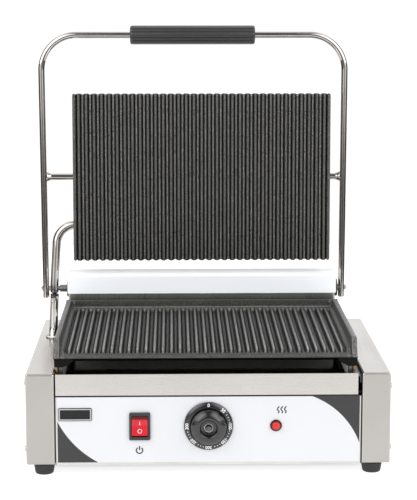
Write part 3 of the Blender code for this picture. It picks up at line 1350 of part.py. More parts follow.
# Steel housing over the casting's back, with holes for the pins and a slot for the wiring tube
housing_half = half_upper - HOUSING_SIDE_INSET
housing_high = half_high - HOUSING_SIDE_INSET
housing_front = UPPER_BACK_Y + GAP
housing_back = housing_front + LID_HOUSING_DEPTH
bm = bmesh.new()
lo = (PLATE_X - housing_half, housing_front, -housing_high)
add_box(bm, lo, (PLATE_X + housing_half, housing_back, housing_high))
upper_housing = piece("upper_housing", bm, STEEL, lid_axis)
housing_round = upper_housing.modifiers.new("round edges", "BEVEL")
housing_round.width = LID_HOUSING_RADIUS
housing_round.segments = 3
housing_round.limit_method = "WEIGHT"
weights = upper_housing.data.attributes.new("bevel_weight_edge", "FLOAT", "EDGE")
for edge, weight in zip(upper_housing.data.edges, weights.data):
    ends = [upper_housing.data.vertices[i].co for i in edge.vertices]
    at_back = [co.y > (housing_front + housing_back) / 2 for co in ends]
    weight.value = 1.0 if any(at_back) else 0.0
bm = bmesh.new()
lo = (PLATE_X - housing_half + SHEET, housing_front - OVERRUN, -housing_high + SHEET)
hi = (PLATE_X + housing_half - SHEET, housing_back - SHEET, housing_high - SHEET)
add_box(bm, lo, hi)
hollow = piece("cut_lid_hollow", bm, parent=lid_axis)
round_edges(hollow, LID_HOUSING_RADIUS - SHEET, 1)
combine(upper_housing, hollow, "DIFFERENCE")
conduit_drop = PIVOT_HEIGHT - conduit_top
slot_front = CONDUIT_LEAN_Y - CONDUIT_RADIUS - conduit_drop * math.sin(LID_FLOAT) - CONDUIT_SLOT_MARGIN
slot_back = CONDUIT_LEAN_Y + CONDUIT_RADIUS + CONDUIT_SLOT_MARGIN
slot_half = CONDUIT_RADIUS + CONDUIT_SLOT_MARGIN
slot_middle = (slot_front + slot_back) / 2
bm = bmesh.new()
outline = rounded_rectangle(
    slot_back - slot_front,
    2 * slot_half,
    slot_half * CONDUIT_SLOT_ROUND_SHARE,
    CONDUIT_SLOT_STEPS,
    (slot_middle, -conduit_drop),
)
wall_x = PLATE_X - housing_half
add_prism(bm, outline, "X", wall_x - OVERRUN, wall_x + SHEET + OVERRUN)
for side in FACES:
    x = PLATE_X + side * housing_half
    ends = sorted((x + side * OVERRUN, x - side * (SHEET + OVERRUN)))
    add_rod(bm, (ends[0], 0, 0), (ends[1], 0, 0), PIN_RADIUS + RUNNING_GAP * 2, GLAND_SIDES)
combine(upper_housing, piece("cut_lid_openings", bm, parent=lid_axis), "DIFFERENCE")

# Upper heater on the casting's back, the pad behind it
bm = bmesh.new()
element_y = UPPER_BACK_Y + GAP + ELEMENT_RADIUS
path = serpentine(
    UPPER_HALF - UPPER_ELEMENT_INSET,
    (half_high - UPPER_ELEMENT_END_INSET) * 2 / (ELEMENT_PASSES - 1),
    lambda across, along: Vector((PLATE_X + across, element_y, along)),
)
add_swept(bm, path, ELEMENT_RADIUS, ELEMENT_SIDES)
piece("upper_element", bm, DARK_SHEET, lid_axis, smooth=ROUND)
bm = bmesh.new()
pad_front = element_y + ELEMENT_RADIUS + GAP
pad_half = LID_BRACKET_X - LID_BRACKET_FOOT - PAD_CLEARANCE
pad_high = half_high - PAD_END_INSET
lo = (PLATE_X - pad_half, pad_front, -pad_high)
add_box(bm, lo, (PLATE_X + pad_half, pad_front + PAD_THICKNESS, pad_high))
piece("insulation_pad", bm, WOOL, lid_axis)


# Thermostat behind the panel, its neck through the hole with a nut in front
THERMOSTAT_NUT_RADIUS = 0.0070
THERMOSTAT_NUT = 0.0018
NECK_PROUD = 0.0006
thermostat_y = SHEET + GAP
half = THERMOSTAT_SIZE / 2
bm = bmesh.new()
lo = (-half.x, thermostat_y, CONTROLS_Z - half.z)
add_box(bm, lo, (half.x, thermostat_y + THERMOSTAT_SIZE.y, CONTROLS_Z + half.z))
thermostat = piece("thermostat", bm, DARK_SHEET)
bm = bmesh.new()
neck_front = -GAP - THERMOSTAT_NUT - NECK_PROUD
profile = [
    (0, 0),
    (NECK_RADIUS, 0),
    (NECK_RADIUS, -neck_front - NECK_PROUD - THERMOSTAT_NUT + OVERRUN),
    (THERMOSTAT_NUT_RADIUS, -neck_front - NECK_PROUD - THERMOSTAT_NUT + OVERRUN),
    (THERMOSTAT_NUT_RADIUS, -neck_front - NECK_PROUD + OVERRUN),
    (NECK_RADIUS, -neck_front - NECK_PROUD + OVERRUN),
    (NECK_RADIUS, -neck_front + OVERRUN),
    (0, -neck_front + OVERRUN),
]
base_y = OVERRUN
add_turned(bm, profile, (0, base_y, CONTROLS_Z), (0, -1, 0), ROUND_SIDES)
combine(thermostat, piece("join_neck", bm), "UNION")
bm = bmesh.new()
SHAFT_SOCKET = 0.008
add_rod(
    bm,
    (0, neck_front - OVERRUN, CONTROLS_Z),
    (0, neck_front + SHAFT_SOCKET, CONTROLS_Z),
    DIAL_SHAFT_RADIUS + GAP,
)
combine(thermostat, piece("cut_shaft_socket", bm), "DIFFERENCE")

# Dial shaft and knob, on their own axis
knob_axis = anchor("knob_axis", (0, 0, CONTROLS_Z))
shaft_tip = neck_front - DIAL_SHAFT_LENGTH
bm = bmesh.new()
add_rod(bm, (0, neck_front + SHAFT_SOCKET - GAP, 0), (0, shaft_tip, 0), DIAL_SHAFT_RADIUS)
piece("thermostat_shaft", bm, STEEL, knob_axis, smooth=ROUND)

KNOB_LIFT = 0.0011
SKIRT_EDGE = 0.0022
SKIRT_RISE = 0.0048
SKIRT_WALL = 0.0016
KNOB_ROOT_SHARE = 1.01
KNOB_SHOULDER_SHARE = 0.93
KNOB_CROWN_SHARE = 0.82
RING_RADIUS = 0.0096
RING_WIDTH = 0.0011
RING_HEIGHT = 0.0006
DISH = 0.0009
HUB_RADIUS = 0.0058
knob_bore = DIAL_SHAFT_RADIUS + GAP
hub_base = -neck_front + GAP
bore_top = -shaft_tip + GAP
face = KNOB_HEIGHT - DISH
ceiling = KNOB_HEIGHT / 2 + SKIRT_WALL
profile = [
    (0, bore_top),
    (knob_bore, bore_top),
    (knob_bore, hub_base),
    (HUB_RADIUS, hub_base),
    (HUB_RADIUS, ceiling),
    (KNOB_RADIUS - SKIRT_WALL * 2, ceiling),
    (KNOB_RADIUS - SKIRT_WALL, SKIRT_RISE - SKIRT_WALL),
    (KNOB_SKIRT_RADIUS - SKIRT_WALL / 2, KNOB_LIFT),
    (KNOB_SKIRT_RADIUS, KNOB_LIFT),
    (KNOB_SKIRT_RADIUS, SKIRT_EDGE),
    (KNOB_RADIUS * KNOB_ROOT_SHARE, SKIRT_RISE),
    (KNOB_RADIUS, face - SKIRT_WALL),
    (KNOB_RADIUS * KNOB_SHOULDER_SHARE, KNOB_HEIGHT - GAP),
    (KNOB_RADIUS * KNOB_CROWN_SHARE, KNOB_HEIGHT),
    (RING_RADIUS, face),
    (RING_RADIUS - GAP, face + RING_HEIGHT),
    (RING_RADIUS - RING_WIDTH, face + RING_HEIGHT),
    (RING_RADIUS - RING_WIDTH - GAP, face - GAP),
    (0, face - GAP),
]
bm = bmesh.new()
add_turned(bm, profile, (0, 0, 0), (0, -1, 0), KNOB_SIDES)
knob = piece("thermostat_knob", bm, BLACK, knob_axis, smooth=ROUND)
bm = bmesh.new()
for i in range(KNOB_FLUTES):
    angle = math.tau * (i + 0.5) / KNOB_FLUTES
    reach = KNOB_RADIUS + KNOB_FLUTE_RADIUS - KNOB_FLUTE_DEPTH
    x, z = reach * math.sin(angle), reach * math.cos(angle)
    start = -SKIRT_RISE - SKIRT_WALL
    add_rod(bm, (x, start, z), (x, -KNOB_HEIGHT - OVERRUN, z), KNOB_FLUTE_RADIUS, GLAND_SIDES)
combine(knob, piece("cut_knob_flutes", bm, parent=knob_axis), "DIFFERENCE")


# Switch: bezel and body in one, with a well for the rocker and three blades
bm = bmesh.new()
outline = rounded_rectangle(SWITCH_BEZEL.x, SWITCH_BEZEL.z, SHEET, 2, (SWITCH_X, CONTROLS_Z))
add_prism(bm, outline, "Y", -GAP - SWITCH_BEZEL.y, -GAP)
switch_body = piece("switch_body", bm, BLACK)
half = SWITCH_BODY / 2
bm = bmesh.new()
lo = (SWITCH_X - half.x, -SWITCH_BEZEL.y / 2, CONTROLS_Z - half.z)
add_box(bm, lo, (SWITCH_X + half.x, SWITCH_BODY.y, CONTROLS_Z + half.z))
combine(switch_body, piece("join_switch_box", bm), "UNION")
opening = SWITCH_OPENING / 2
bm = bmesh.new()
lo = (SWITCH_X - opening.x, -SWITCH_BEZEL.y - OVERRUN, CONTROLS_Z - opening.z)
add_box(bm, lo, (SWITCH_X + opening.x, SWITCH_OPENING.y, CONTROLS_Z + opening.z))
combine(switch_body, piece("cut_rocker_well", bm), "DIFFERENCE")
bm = bmesh.new()
for i in (-1, 0, 1):
    z = CONTROLS_Z + i * SWITCH_BODY.z * BLADE_PITCH_SHARE
    half = BLADE_SIZE / 2
    lo = (SWITCH_X - half.z, SWITCH_BODY.y - OVERRUN, z - half.x)
    add_box(bm, lo, (SWITCH_X + half.z, SWITCH_BODY.y + BLADE_SIZE.y, z + half.x))
combine(switch_body, piece("join_blades", bm), "UNION")

# Rocker with two faces that meet in a shallow V, on a pin in the well
rocker_axis = anchor("rocker_axis", (SWITCH_X, ROCKER_DEPTH_Y, CONTROLS_Z), tilt=-ROCKER_TILT)
ROCKER_HALF_HEIGHT = 0.0109
ROCKER_CENTRE_FRONT = 0.0070
ROCKER_END_FRONT = 0.0086
ROCKER_END_BACK = 0.0030
ROCKER_KEEL = 0.0034
ROCKER_KEEL_HALF = 0.0035
rocker_half = opening.x - ROCKER_RUNNING_GAP
outline = [
    (-ROCKER_END_FRONT, ROCKER_HALF_HEIGHT),
    (-ROCKER_CENTRE_FRONT, 0),
    (-ROCKER_END_FRONT, -ROCKER_HALF_HEIGHT),
    (-ROCKER_END_BACK, -ROCKER_HALF_HEIGHT),
    (ROCKER_KEEL, -ROCKER_KEEL_HALF),
    (ROCKER_KEEL, ROCKER_KEEL_HALF),
    (-ROCKER_END_BACK, ROCKER_HALF_HEIGHT),
]
bm = bmesh.new()
add_prism(bm, outline, "X", -rocker_half, rocker_half)
piece("switch_rocker", bm, RED, rocker_axis)


# Pilot lamp: body behind the panel, domed lens in front
bm = bmesh.new()
LAMP_LENS_PLUG = 0.004
LAMP_FLANGE = 0.0016
LAMP_DOME = 0.0034
LAMP_TAB_RADIUS = 0.0066
LAMP_TAB = 0.003
plug_radius = LAMP_STEM_RADIUS - SHEET
profile = [
    (0, -LAMP_LENS_PLUG - GAP),
    (plug_radius + GAP, -LAMP_LENS_PLUG - GAP),
    (plug_radius + GAP, -GAP),
    (LAMP_STEM_RADIUS, -GAP),
    (LAMP_STEM_RADIUS, -SHEET - GAP * 2),
    (LAMP_TAB_RADIUS, -SHEET - GAP * 2),
    (LAMP_TAB_RADIUS, -SHEET - GAP * 2 - LAMP_TAB),
    (LAMP_STEM_RADIUS, -SHEET - GAP * 2 - LAMP_TAB),
    (LAMP_STEM_RADIUS, -LAMP_STEM_LENGTH),
    (0, -LAMP_STEM_LENGTH),
]
add_turned(bm, profile, (LAMP_X, 0, CONTROLS_Z), (0, -1, 0), GLAND_SIDES)
piece("lamp_body", bm, BLACK, smooth=ROUND)
bm = bmesh.new()
DOME_STEPS = 4
profile = [
    (0, -LAMP_LENS_PLUG),
    (plug_radius, -LAMP_LENS_PLUG),
    (plug_radius, GAP),
    (LAMP_FLANGE_RADIUS, GAP),
    (LAMP_FLANGE_RADIUS, GAP + LAMP_FLANGE / 2),
    (LAMP_DOME_RADIUS, GAP + LAMP_FLANGE),
]
for i in range(1, DOME_STEPS + 1):
    angle = math.pi / 2 * i / DOME_STEPS
    radius = LAMP_DOME_RADIUS * math.cos(angle) if i < DOME_STEPS else 0
    profile.append((radius, GAP + LAMP_FLANGE + LAMP_DOME * math.sin(angle)))
add_turned(bm, profile, (LAMP_X, 0, CONTROLS_Z), (0, -1, 0), KNOB_SIDES // 2)
piece("lamp_lens", bm, GLOW, smooth=ROUND)


def stand_on_origin():
    """Moves the whole grill so that the middle of its underside is the origin."""
    bpy.context.view_layer.update()
    seen = bpy.context.evaluated_depsgraph_get()
    lows, highs = [], []
    for body in bpy.data.objects:
        if body.type != "MESH" or body.hide_render:
            continue
        shape = body.evaluated_get(seen).to_mesh()
        points = [body.matrix_world @ v.co for v in shape.vertices]
        for store, pick in ((lows, min), (highs, max)):
            store.append(Vector([pick(p[i] for p in points) for i in range(3)]))
    low = Vector([min(p[i] for p in lows) for i in range(3)])
    high = Vector([max(p[i] for p in highs) for i in range(3)])
    shift = Vector(((low.x + high.x) / 2, (low.y + high.y) / 2, low.z))
    for body in bpy.data.objects:
        if body.parent is None:
            body.location = body.location - shift
    bpy.context.view_layer.update()


stand_on_origin()
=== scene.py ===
from math import cos, exp, hypot, pi, radians, sin, tan, tau

import bmesh
import bpy
from mathutils import Matrix, Vector


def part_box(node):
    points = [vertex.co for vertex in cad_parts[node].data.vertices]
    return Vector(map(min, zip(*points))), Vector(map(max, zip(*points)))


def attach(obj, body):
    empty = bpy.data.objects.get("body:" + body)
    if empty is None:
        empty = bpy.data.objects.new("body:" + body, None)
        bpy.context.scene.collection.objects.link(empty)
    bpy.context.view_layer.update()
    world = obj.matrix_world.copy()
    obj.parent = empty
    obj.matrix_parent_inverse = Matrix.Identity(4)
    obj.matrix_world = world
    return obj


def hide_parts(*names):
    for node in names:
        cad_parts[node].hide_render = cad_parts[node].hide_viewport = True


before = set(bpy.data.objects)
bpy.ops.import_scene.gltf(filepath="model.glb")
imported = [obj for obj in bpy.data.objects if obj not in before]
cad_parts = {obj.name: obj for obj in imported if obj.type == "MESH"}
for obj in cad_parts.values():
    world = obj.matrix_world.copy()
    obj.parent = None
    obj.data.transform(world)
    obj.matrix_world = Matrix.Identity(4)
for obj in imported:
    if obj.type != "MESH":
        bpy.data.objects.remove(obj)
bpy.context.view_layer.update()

# Side housings: two folded boxes of brushed stainless steel that carry everything between them. The sheet is
# brushed along its length, so the lines run up the front, back along the top and along the outer sides.


def add(tree, kind, inputs=None, **settings):
    """A node with its settings, each input either a value or a link from a socket."""
    node = tree.nodes.new(kind)
    for key, value in settings.items():
        setattr(node, key, value)
    for key, value in (inputs or {}).items():
        if isinstance(value, bpy.types.NodeSocket):
            tree.links.new(value, node.inputs[key])
        else:
            node.inputs[key].default_value = value
    return node


def finish(name, **values):
    """A new material, its shader and its object coordinates."""
    material = bpy.data.materials.new(name)
    material.use_nodes = True
    tree = material.node_tree
    shader = tree.nodes["Principled BSDF"]
    for key, value in values.items():
        shader.inputs[key.replace("_", " ")].default_value = value
    return material, shader, add(tree, "ShaderNodeTexCoord").outputs["Object"]


def feed(shader, value, name="Base Color"):
    """Links a socket to one of the shader's inputs."""
    shader.id_data.links.new(value, shader.inputs[name])


def grain(place, scale, stretch=(1, 1, 1), detail=3.0, roughness=0.6):
    """Noise on object coordinates, stretched along the axes whose factor is small."""
    mapping = add(place.id_data, "ShaderNodeMapping", {"Vector": place, "Scale": stretch})
    look = {"Vector": mapping.outputs[0], "Scale": scale, "Detail": detail, "Roughness": roughness}
    return add(place.id_data, "ShaderNodeTexNoise", look).outputs["Fac"]


def spread(value, low, high, start=0.3, end=0.7, **settings):
    limits = {"Value": value, "From Min": start, "From Max": end, "To Min": low, "To Max": high}
    return add(value.id_data, "ShaderNodeMapRange", limits, **settings).outputs[0]


def mixed(factor, first, second):
    """A colour between two, each of them a plain colour or a socket."""
    ends = [end if isinstance(end, bpy.types.NodeSocket) else (*end, 1) for end in (first, second)]
    return add(factor.id_data, "ShaderNodeMix", {0: factor, 6: ends[0], 7: ends[1]}, data_type="RGBA").outputs[2]


def shades(value, dark, light, start=0.3, end=0.7):
    return mixed(spread(value, 0.0, 1.0, start, end), dark, light)


def relief(shader, height, strength, distance):
    bump = add(shader.id_data, "ShaderNodeBump", {"Height": height, "Strength": strength, "Distance": distance})
    feed(shader, bump.outputs[0], "Normal")


def brushed(name, dark, light, lines, rough=(0.26, 0.40), strength=0.12):
    """Brushed sheet. The lines' factors are large across the brushing and small along it."""
    material, shader, place = finish(name, Metallic=1.0, Anisotropic=0.35)
    fine = grain(place, 1.0, lines, 2.0)
    feed(shader, shades(grain(place, 9.0), dark, light))
    feed(shader, spread(fine, *rough), "Roughness")
    relief(shader, fine, strength, 0.0002)
    return material


def dress(material, *nodes):
    """Gives CAD nodes that keep their shape this object's own finish."""
    for name in nodes:
        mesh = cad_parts[name].data
        mesh.materials.clear()
        mesh.materials.append(material)


housing_steel = brushed("housing_steel", (0.43, 0.415, 0.39), (0.47, 0.455, 0.43), (1800, 14, 14), (0.24, 0.27), 0.003)
dress(housing_steel, "left_side_housing", "right_side_housing")

# Feet: tapered black rubber, each held up into a side housing by a screw in a deep recess.
FOOT_NAMES = ("foot_front_left", "foot_front_right", "foot_rear_left", "foot_rear_right")


def speckled(name, dark, light, scale, rough, bump=None, stretch=(1, 1, 1), detail=3.0, **values):
    """A finish that varies finely between two colours, perhaps with a bump of (strength, distance)."""
    material, shader, place = finish(name, Roughness=rough, **values)
    speck = grain(place, scale, stretch, detail)
    feed(shader, shades(speck, dark, light))
    if bump:
        relief(shader, speck, *bump)
    return material


foot_rubber = speckled(
    "foot_rubber", (0.020, 0.020, 0.0205), (0.038, 0.038, 0.0385), 900.0, 0.62, (0.25, 0.0003), Specular_IOR_Level=0.35
)
dress(foot_rubber, *FOOT_NAMES)

# Floor panel, tray runners, plate rails and rear panel: sheet folded and screwed between the housings. The rear panel
# and runners are plain mill sheet; the floor panel, plate rails and lid brackets are a darker sheet.
sheet_steel = brushed("sheet_steel", (0.42, 0.415, 0.40), (0.52, 0.515, 0.50), (60, 1500, 900), (0.32, 0.46))
dress(sheet_steel, "rear_panel", "tray_runner_left", "tray_runner_right")
rail_steel = brushed("rail_steel", (0.10, 0.10, 0.098), (0.17, 0.17, 0.165), (900, 60, 900), (0.36, 0.5))
dress(rail_steel, "floor_panel", "plate_rail_left", "plate_rail_right", "lid_bracket_left", "lid_bracket_right")

# Rubber strips that seal the rear panel against the side housings, pressed into the corners behind the sheet.
SEAL_X, SEAL_RADIUS, SEAL_INSET, SEAL_END = 0.1724, 0.0042, 0.0013, 0.0020


def mesh_of(bm, name, outward=True):
    if outward:
        bmesh.ops.recalc_face_normals(bm, faces=bm.faces)
    mesh = bpy.data.meshes.new(name)
    bm.to_mesh(mesh)
    bm.free()
    return mesh


def placed(name, data):
    thing = bpy.data.objects.new(name, data)
    bpy.context.collection.objects.link(thing)
    return thing


def fitted(mesh, name, body, slot, *stands_for, smooth=35):
    """A mesh as a piece that rides on a body, smooth up to an angle."""
    mesh.name = name
    if smooth:
        mesh.shade_smooth()
        mesh.set_sharp_from_angle(angle=radians(smooth))
    piece = placed(name, mesh)
    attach(piece, body)
    if stands_for:
        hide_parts(*stands_for)
    return piece


def made(name, bm, material, body, slot, *stands_for, smooth=35):
    """Turns a bmesh, already in its place, into a piece that rides on a body."""
    mesh = mesh_of(bm, name)
    mesh.materials.append(material)
    return fitted(mesh, name, body, slot, *stands_for, smooth=smooth)


def skin(bm, rings):
    """Faces between closed rings of points that follow each other."""
    faces = []
    for lower, upper in zip(rings, rings[1:]):
        for i in range(len(lower)):
            k = (i + 1) % len(lower)
            faces.append(bm.faces.new((lower[i], lower[k], upper[k], upper[i])))
    return faces


def prism(bm, outline, place, depth):
    """A flat outline with a thickness, placed by a function of (across, up, out)."""
    rings = [[bm.verts.new(place(u, v, w)) for u, v in outline] for w in (0.0, depth)]
    bm.faces.new(rings[0])
    bm.faces.new(rings[1])
    skin(bm, rings)


low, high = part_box("rear_panel")
seal_length = high.z - low.z - 2 * SEAL_END
bm = bmesh.new()
for side in (-1, 1):
    quarter = [pi / 2 * i / 12 for i in range(13)]
    outline = [(side * (SEAL_X - SEAL_RADIUS * cos(a)), -SEAL_RADIUS * sin(a)) for a in quarter]
    outline.append((side * SEAL_X, 0.0))
    prism(bm, outline, lambda u, v, w: (u, high.y - SEAL_INSET + v, low.z + SEAL_END + w), seal_length)
made("rear_seals", bm, foot_rubber, "base", "foot_rubber")

# Front panel: steel sheet under a glossy white printed film, whose lower left and upper right corners are black,
# each cut off by an arc of a circle. Bare sheet shows round the film. The folds at the sides and top are painted
# black, a painted shade of the gaps there.
PRINT_ARCS = ((-1, -0.0717, 0.1112, 0.1090), (1, 0.0841, 0.0054, 0.0913))
PRINT_EDGES = (("X", -0.1695, 0.1700), ("Z", 0.0155, 0.1))


def axes(place):
    return add(place.id_data, "ShaderNodeSeparateXYZ", {"Vector": place}).outputs


def calc(operation, *values):
    """Plain arithmetic on numbers and at least one socket."""
    tree = next(value.id_data for value in values if isinstance(value, bpy.types.NodeSocket))
    return add(tree, "ShaderNodeMath", dict(enumerate(values)), operation=operation).outputs[0]


def distance(place, point):
    return add(place.id_data, "ShaderNodeVectorMath", {0: place, 1: point}, operation="DISTANCE").outputs["Value"]


def beyond(value, limit, soft=0.0001):
    """One where a value is past a limit and zero before it, with a soft edge."""
    return spread(value, 0.0, 1.0, limit - soft, limit + soft)


panel_print, shader, place = finish("panel_print", Roughness=0.30, Coat_Weight=0.35, Coat_Roughness=0.12)
where = axes(place)
flat = add(place.id_data, "ShaderNodeCombineXYZ", {"X": where["X"], "Z": where["Z"]}).outputs[0]
black_corners = 0.0
for side, centre_x, centre_z, radius in PRINT_ARCS:
    outside = beyond(distance(flat, (centre_x, 0, centre_z)), radius)
    quarter = beyond(calc("MULTIPLY", where["X"], float(side)), abs(centre_x))
    level = beyond(where["Z"], centre_z)
    if side < 0:
        level = calc("SUBTRACT", 1.0, level)
    corner = calc("MULTIPLY", calc("MULTIPLY", outside, quarter), level)
    black_corners = calc("MAXIMUM", black_corners, corner)
border = 0.0
for axis, start, end in PRINT_EDGES:
    offset = calc("ABSOLUTE", calc("SUBTRACT", where[axis], (start + end) / 2))
    border = calc("MAXIMUM", border, beyond(offset, (end - start) / 2))
# Painted shade: the folds at the panel's sides and top are coloured black.
side_fold_shade = spread(calc("ABSOLUTE", where["X"]), 0.0, 1.0, 0.1710, 0.1714)
fold_shade = calc("MAXIMUM", side_fold_shade, spread(where["Z"], 0.0, 1.0, 0.0907, 0.0910))
cloud = grain(place, 14.0)
white = shades(cloud, (0.70, 0.705, 0.735), (0.72, 0.725, 0.755))
black = shades(grain(place, 1500.0), (0.006, 0.006, 0.006), (0.024, 0.024, 0.024))
bare = shades(cloud, (0.55, 0.54, 0.52), (0.66, 0.65, 0.63))
sheet = mixed(border, mixed(black_corners, white, black), bare)
feed(shader, mixed(fold_shade, sheet, (0.02, 0.02, 0.02)))
relief(shader, grain(place, 220.0), 0.04, 0.0002)
dress(panel_print, "front_panel")

# Signs printed in black on the panel: a switch sign under the rocker and a heat sign over the lamp.
FRONT_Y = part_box("left_side_housing")[0].y
PRINT_THICKNESS, SWITCH_STROKE, HEAT_STROKE = 0.00006, 0.0015, 0.0014
print_ink = speckled("print_ink", (0.025, 0.025, 0.028), (0.05, 0.05, 0.055), 2600.0, 0.45)


def on_panel(centre_x, centre_z, y=FRONT_Y):
    """Takes (across, up, out) from a point of the panel to the grill's own axes."""
    return lambda u, v, w: (centre_x + u, y - w, centre_z + v)


def ring_points(radius, count, centre=(0, 0), start=0.0, sweep=tau):
    steps = count if sweep == tau else count - 1
    angles = [start + sweep * i / steps for i in range(count)]
    return [(centre[0] + radius * cos(a), centre[1] + radius * sin(a)) for a in angles]


def stroke(points, width):
    """The outline of a line of even width along points."""
    points = [Vector(p) for p in points]
    left, right = [], []
    for i, point in enumerate(points):
        ahead = points[min(i + 1, len(points) - 1)] - points[max(i - 1, 0)]
        normal = Vector((-ahead.y, ahead.x)).normalized() * width / 2
        left.append(tuple(point + normal))
        right.append(tuple(point - normal))
    return left + right[::-1]


bm = bmesh.new()
sign = on_panel(-0.0777, 0.0293)
gap = radians(36)
arc = ring_points(0.0036, 32, (0, 0), pi / 2 + gap, tau - 2 * gap)
for line in (arc, [(0, 0.0002), (0, 0.0050)]):
    prism(bm, stroke(line, SWITCH_STROKE), sign, PRINT_THICKNESS)
made("switch_sign", bm, print_ink, "base", "white_panel", smooth=0)
bm = bmesh.new()
wave = [(0.0009 * sin(tau * i / 16), -0.0040 + 0.0080 * i / 20) for i in range(21)]
for step in (-1, 0, 1):
    prism(bm, stroke(wave, HEAT_STROKE), on_panel(0.0822 + step * 0.0040, 0.0754), PRINT_THICKNESS)
made("heat_sign", bm, print_ink, "base", "white_panel", smooth=0)

# Badge plate: a stamped plate with a raised bright edge round a dark field, left bare.
BADGE_STEPS = ((0.0, 0.0), (0.0, 0.0003), (0.0006, 0.0005), (0.0009, 0.0009), (0.0021, 0.0009), (0.0024, 0.0004))
BADGE_CORNERS = (0.0016, 1.0, 0.0002)
badge_metal = brushed("badge_metal", (0.40, 0.40, 0.405), (0.50, 0.50, 0.505), (40, 40, 1500), (0.2, 0.3))
badge_field = speckled("badge_field", (0.014, 0.014, 0.0145), (0.030, 0.030, 0.031), 1400.0, 0.42, Metallic=0.6)


def rounded(width, height, radius, steps=5):
    points = []
    for quarter, (sx, sy) in enumerate(((1, 1), (-1, 1), (-1, -1), (1, -1))):
        for i in range(steps + 1):
            angle = pi / 2 * (quarter + i / steps)
            x = sx * (width / 2 - radius) + radius * cos(angle)
            points.append((x, sy * (height / 2 - radius) + radius * sin(angle)))
    return points


def stepped(bm, steps, width, height, corners, place):
    """Rings for steps of (inset, out). Corners are (radius, loss for each inset, least)."""
    corner, loss, least = corners
    rings = []
    for inset, out in steps:
        line = rounded(width - 2 * inset, height - 2 * inset, max(corner - inset * loss, least))
        rings.append([bm.verts.new(place(u, v, out)) for u, v in line])
    return rings


def centre_of(name):
    low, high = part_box(name)
    return (low + high) / 2


low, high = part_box("badge_plate")
middle = centre_of("badge_plate")
on_badge = on_panel(middle.x, middle.z, high.y)
bm = bmesh.new()
rings = stepped(bm, BADGE_STEPS, high.x - low.x, high.z - low.z, BADGE_CORNERS, on_badge)
sides = skin(bm, rings)
bm.faces.new(rings[0])
for face in sides[: 2 * len(rings[0])] + [bm.faces.new(rings[-1])]:
    face.material_index = 1
badge = made("badge", bm, badge_metal, "base", "badge", "badge_plate")
badge.data.materials.append(badge_field)

# Rocker switch: a black bezel that snaps into the panel, and a red see-through rocker with the usual line and ring.
# It is shown with its top pressed in, and the rocker's top band is painted dark red, a painted shade of the pressed-in
# top.
CONTROLS_Z = 0.0574
BEZEL_WIDTH, BEZEL_HEIGHT, BEZEL_IN, BEZEL_CORNERS = 0.0236, 0.0314, 0.0022, (0.0014, 0.4, 0.0004)
BEZEL_STEPS = ((0.0, 0.0), (0.0, 0.0009), (0.0006, 0.0016), (0.0018, 0.0019), (0.0026, 0.0010), (0.0027, -0.0020))
ROCKER_TILT, ROCKER_Y, ROCKER_HALF = radians(-8.0), -0.1463, 0.0088
FACE_TOP, FACE_MIDDLE, FACE_HALF = -0.0086, -0.0070, 0.0109
MARK_THICKNESS, MARK_GAP = 0.00006, 0.00003
switch_black = speckled("switch_black", (0.020, 0.020, 0.021), (0.034, 0.034, 0.035), 1200.0, 0.30, (0.10, 0.0002))
dress(switch_black, "switch_body", "lamp_body")
rocker_red, shader, place = finish(
    "rocker_red", Roughness=0.28, Specular_IOR_Level=0.3, Subsurface_Weight=0.15, Subsurface_Scale=0.002
)
height = axes(place)["Z"]
# Painted shade: the top band of the rocker is coloured dark red.
painted_shade_top = spread(height, 0.0, 1.0, CONTROLS_Z + 0.0074, CONTROLS_Z + 0.0092)
clear = shades(grain(place, 260.0), (0.57, 0.016, 0.027), (0.69, 0.028, 0.042))
feed(shader, mixed(painted_shade_top, clear, (0.09, 0.001, 0.006)))
mark_white = speckled("mark_white", (0.78, 0.78, 0.78), (0.90, 0.90, 0.90), 900.0, 0.45)
switch_x = centre_of("switch_body").x
on_bezel = on_panel(switch_x, CONTROLS_Z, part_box("switch_body")[0].y + BEZEL_IN)
bm = bmesh.new()
skin(bm, stepped(bm, BEZEL_STEPS, BEZEL_WIDTH, BEZEL_HEIGHT, BEZEL_CORNERS, on_bezel))
made("switch_bezel", bm, switch_black, "base", "black_plastic", smooth=25)
rocker_place = Matrix.Translation((switch_x, ROCKER_Y, CONTROLS_Z)) @ Matrix.Rotation(ROCKER_TILT, 4, "X")


def rocker_face(v):
    """Depth of the rocker's front at a height above its middle."""
    return FACE_MIDDLE + (FACE_TOP - FACE_MIDDLE) * abs(v) / FACE_HALF


def on_rocker(u, v, w):
    return rocker_place @ Vector((u, rocker_face(v) - MARK_GAP - w, v))


def band(bm, inner, outer, place, depth):
    """A closed flat ring between two outlines with the same number of points, with a thickness."""
    edges = ((inner, 0.0), (outer, 0.0), (outer, depth), (inner, depth))
    loops = [[bm.verts.new(place(u, v, w)) for u, v in line] for line, w in edges]
    skin(bm, loops + loops[:1])


heights = [FACE_HALF * (i / 8 - 1) for i in range(17)]
outline = [(rocker_face(v) + 0.0002 * exp(-((v / 0.0012) ** 2)), v) for v in heights]
outline += [(0.0, FACE_HALF), (0.0034, 0.0035), (0.0034, -0.0035), (0.0, -FACE_HALF)]
bm = bmesh.new()
rings = []
for across, draw in ((-1, 0.0005), (-0.93, 0), (0.93, 0), (1, 0.0005)):
    points = [(across * ROCKER_HALF, y + (draw if y < -0.004 else 0), v) for y, v in outline]
    rings.append([bm.verts.new(point) for point in points])
skin(bm, rings)
bm.faces.new(rings[0])
bm.faces.new(rings[-1])
bm.transform(rocker_place)
made("rocker", bm, rocker_red, "rocker", "red_rocker", "switch_rocker", smooth=30)
bm = bmesh.new()
prism(bm, stroke([(0, 0.0008 + 0.0040 * i / 6) for i in range(7)], 0.0007), on_rocker, MARK_THICKNESS)
made("rocker_line", bm, mark_white, "rocker", "red_rocker", smooth=0)
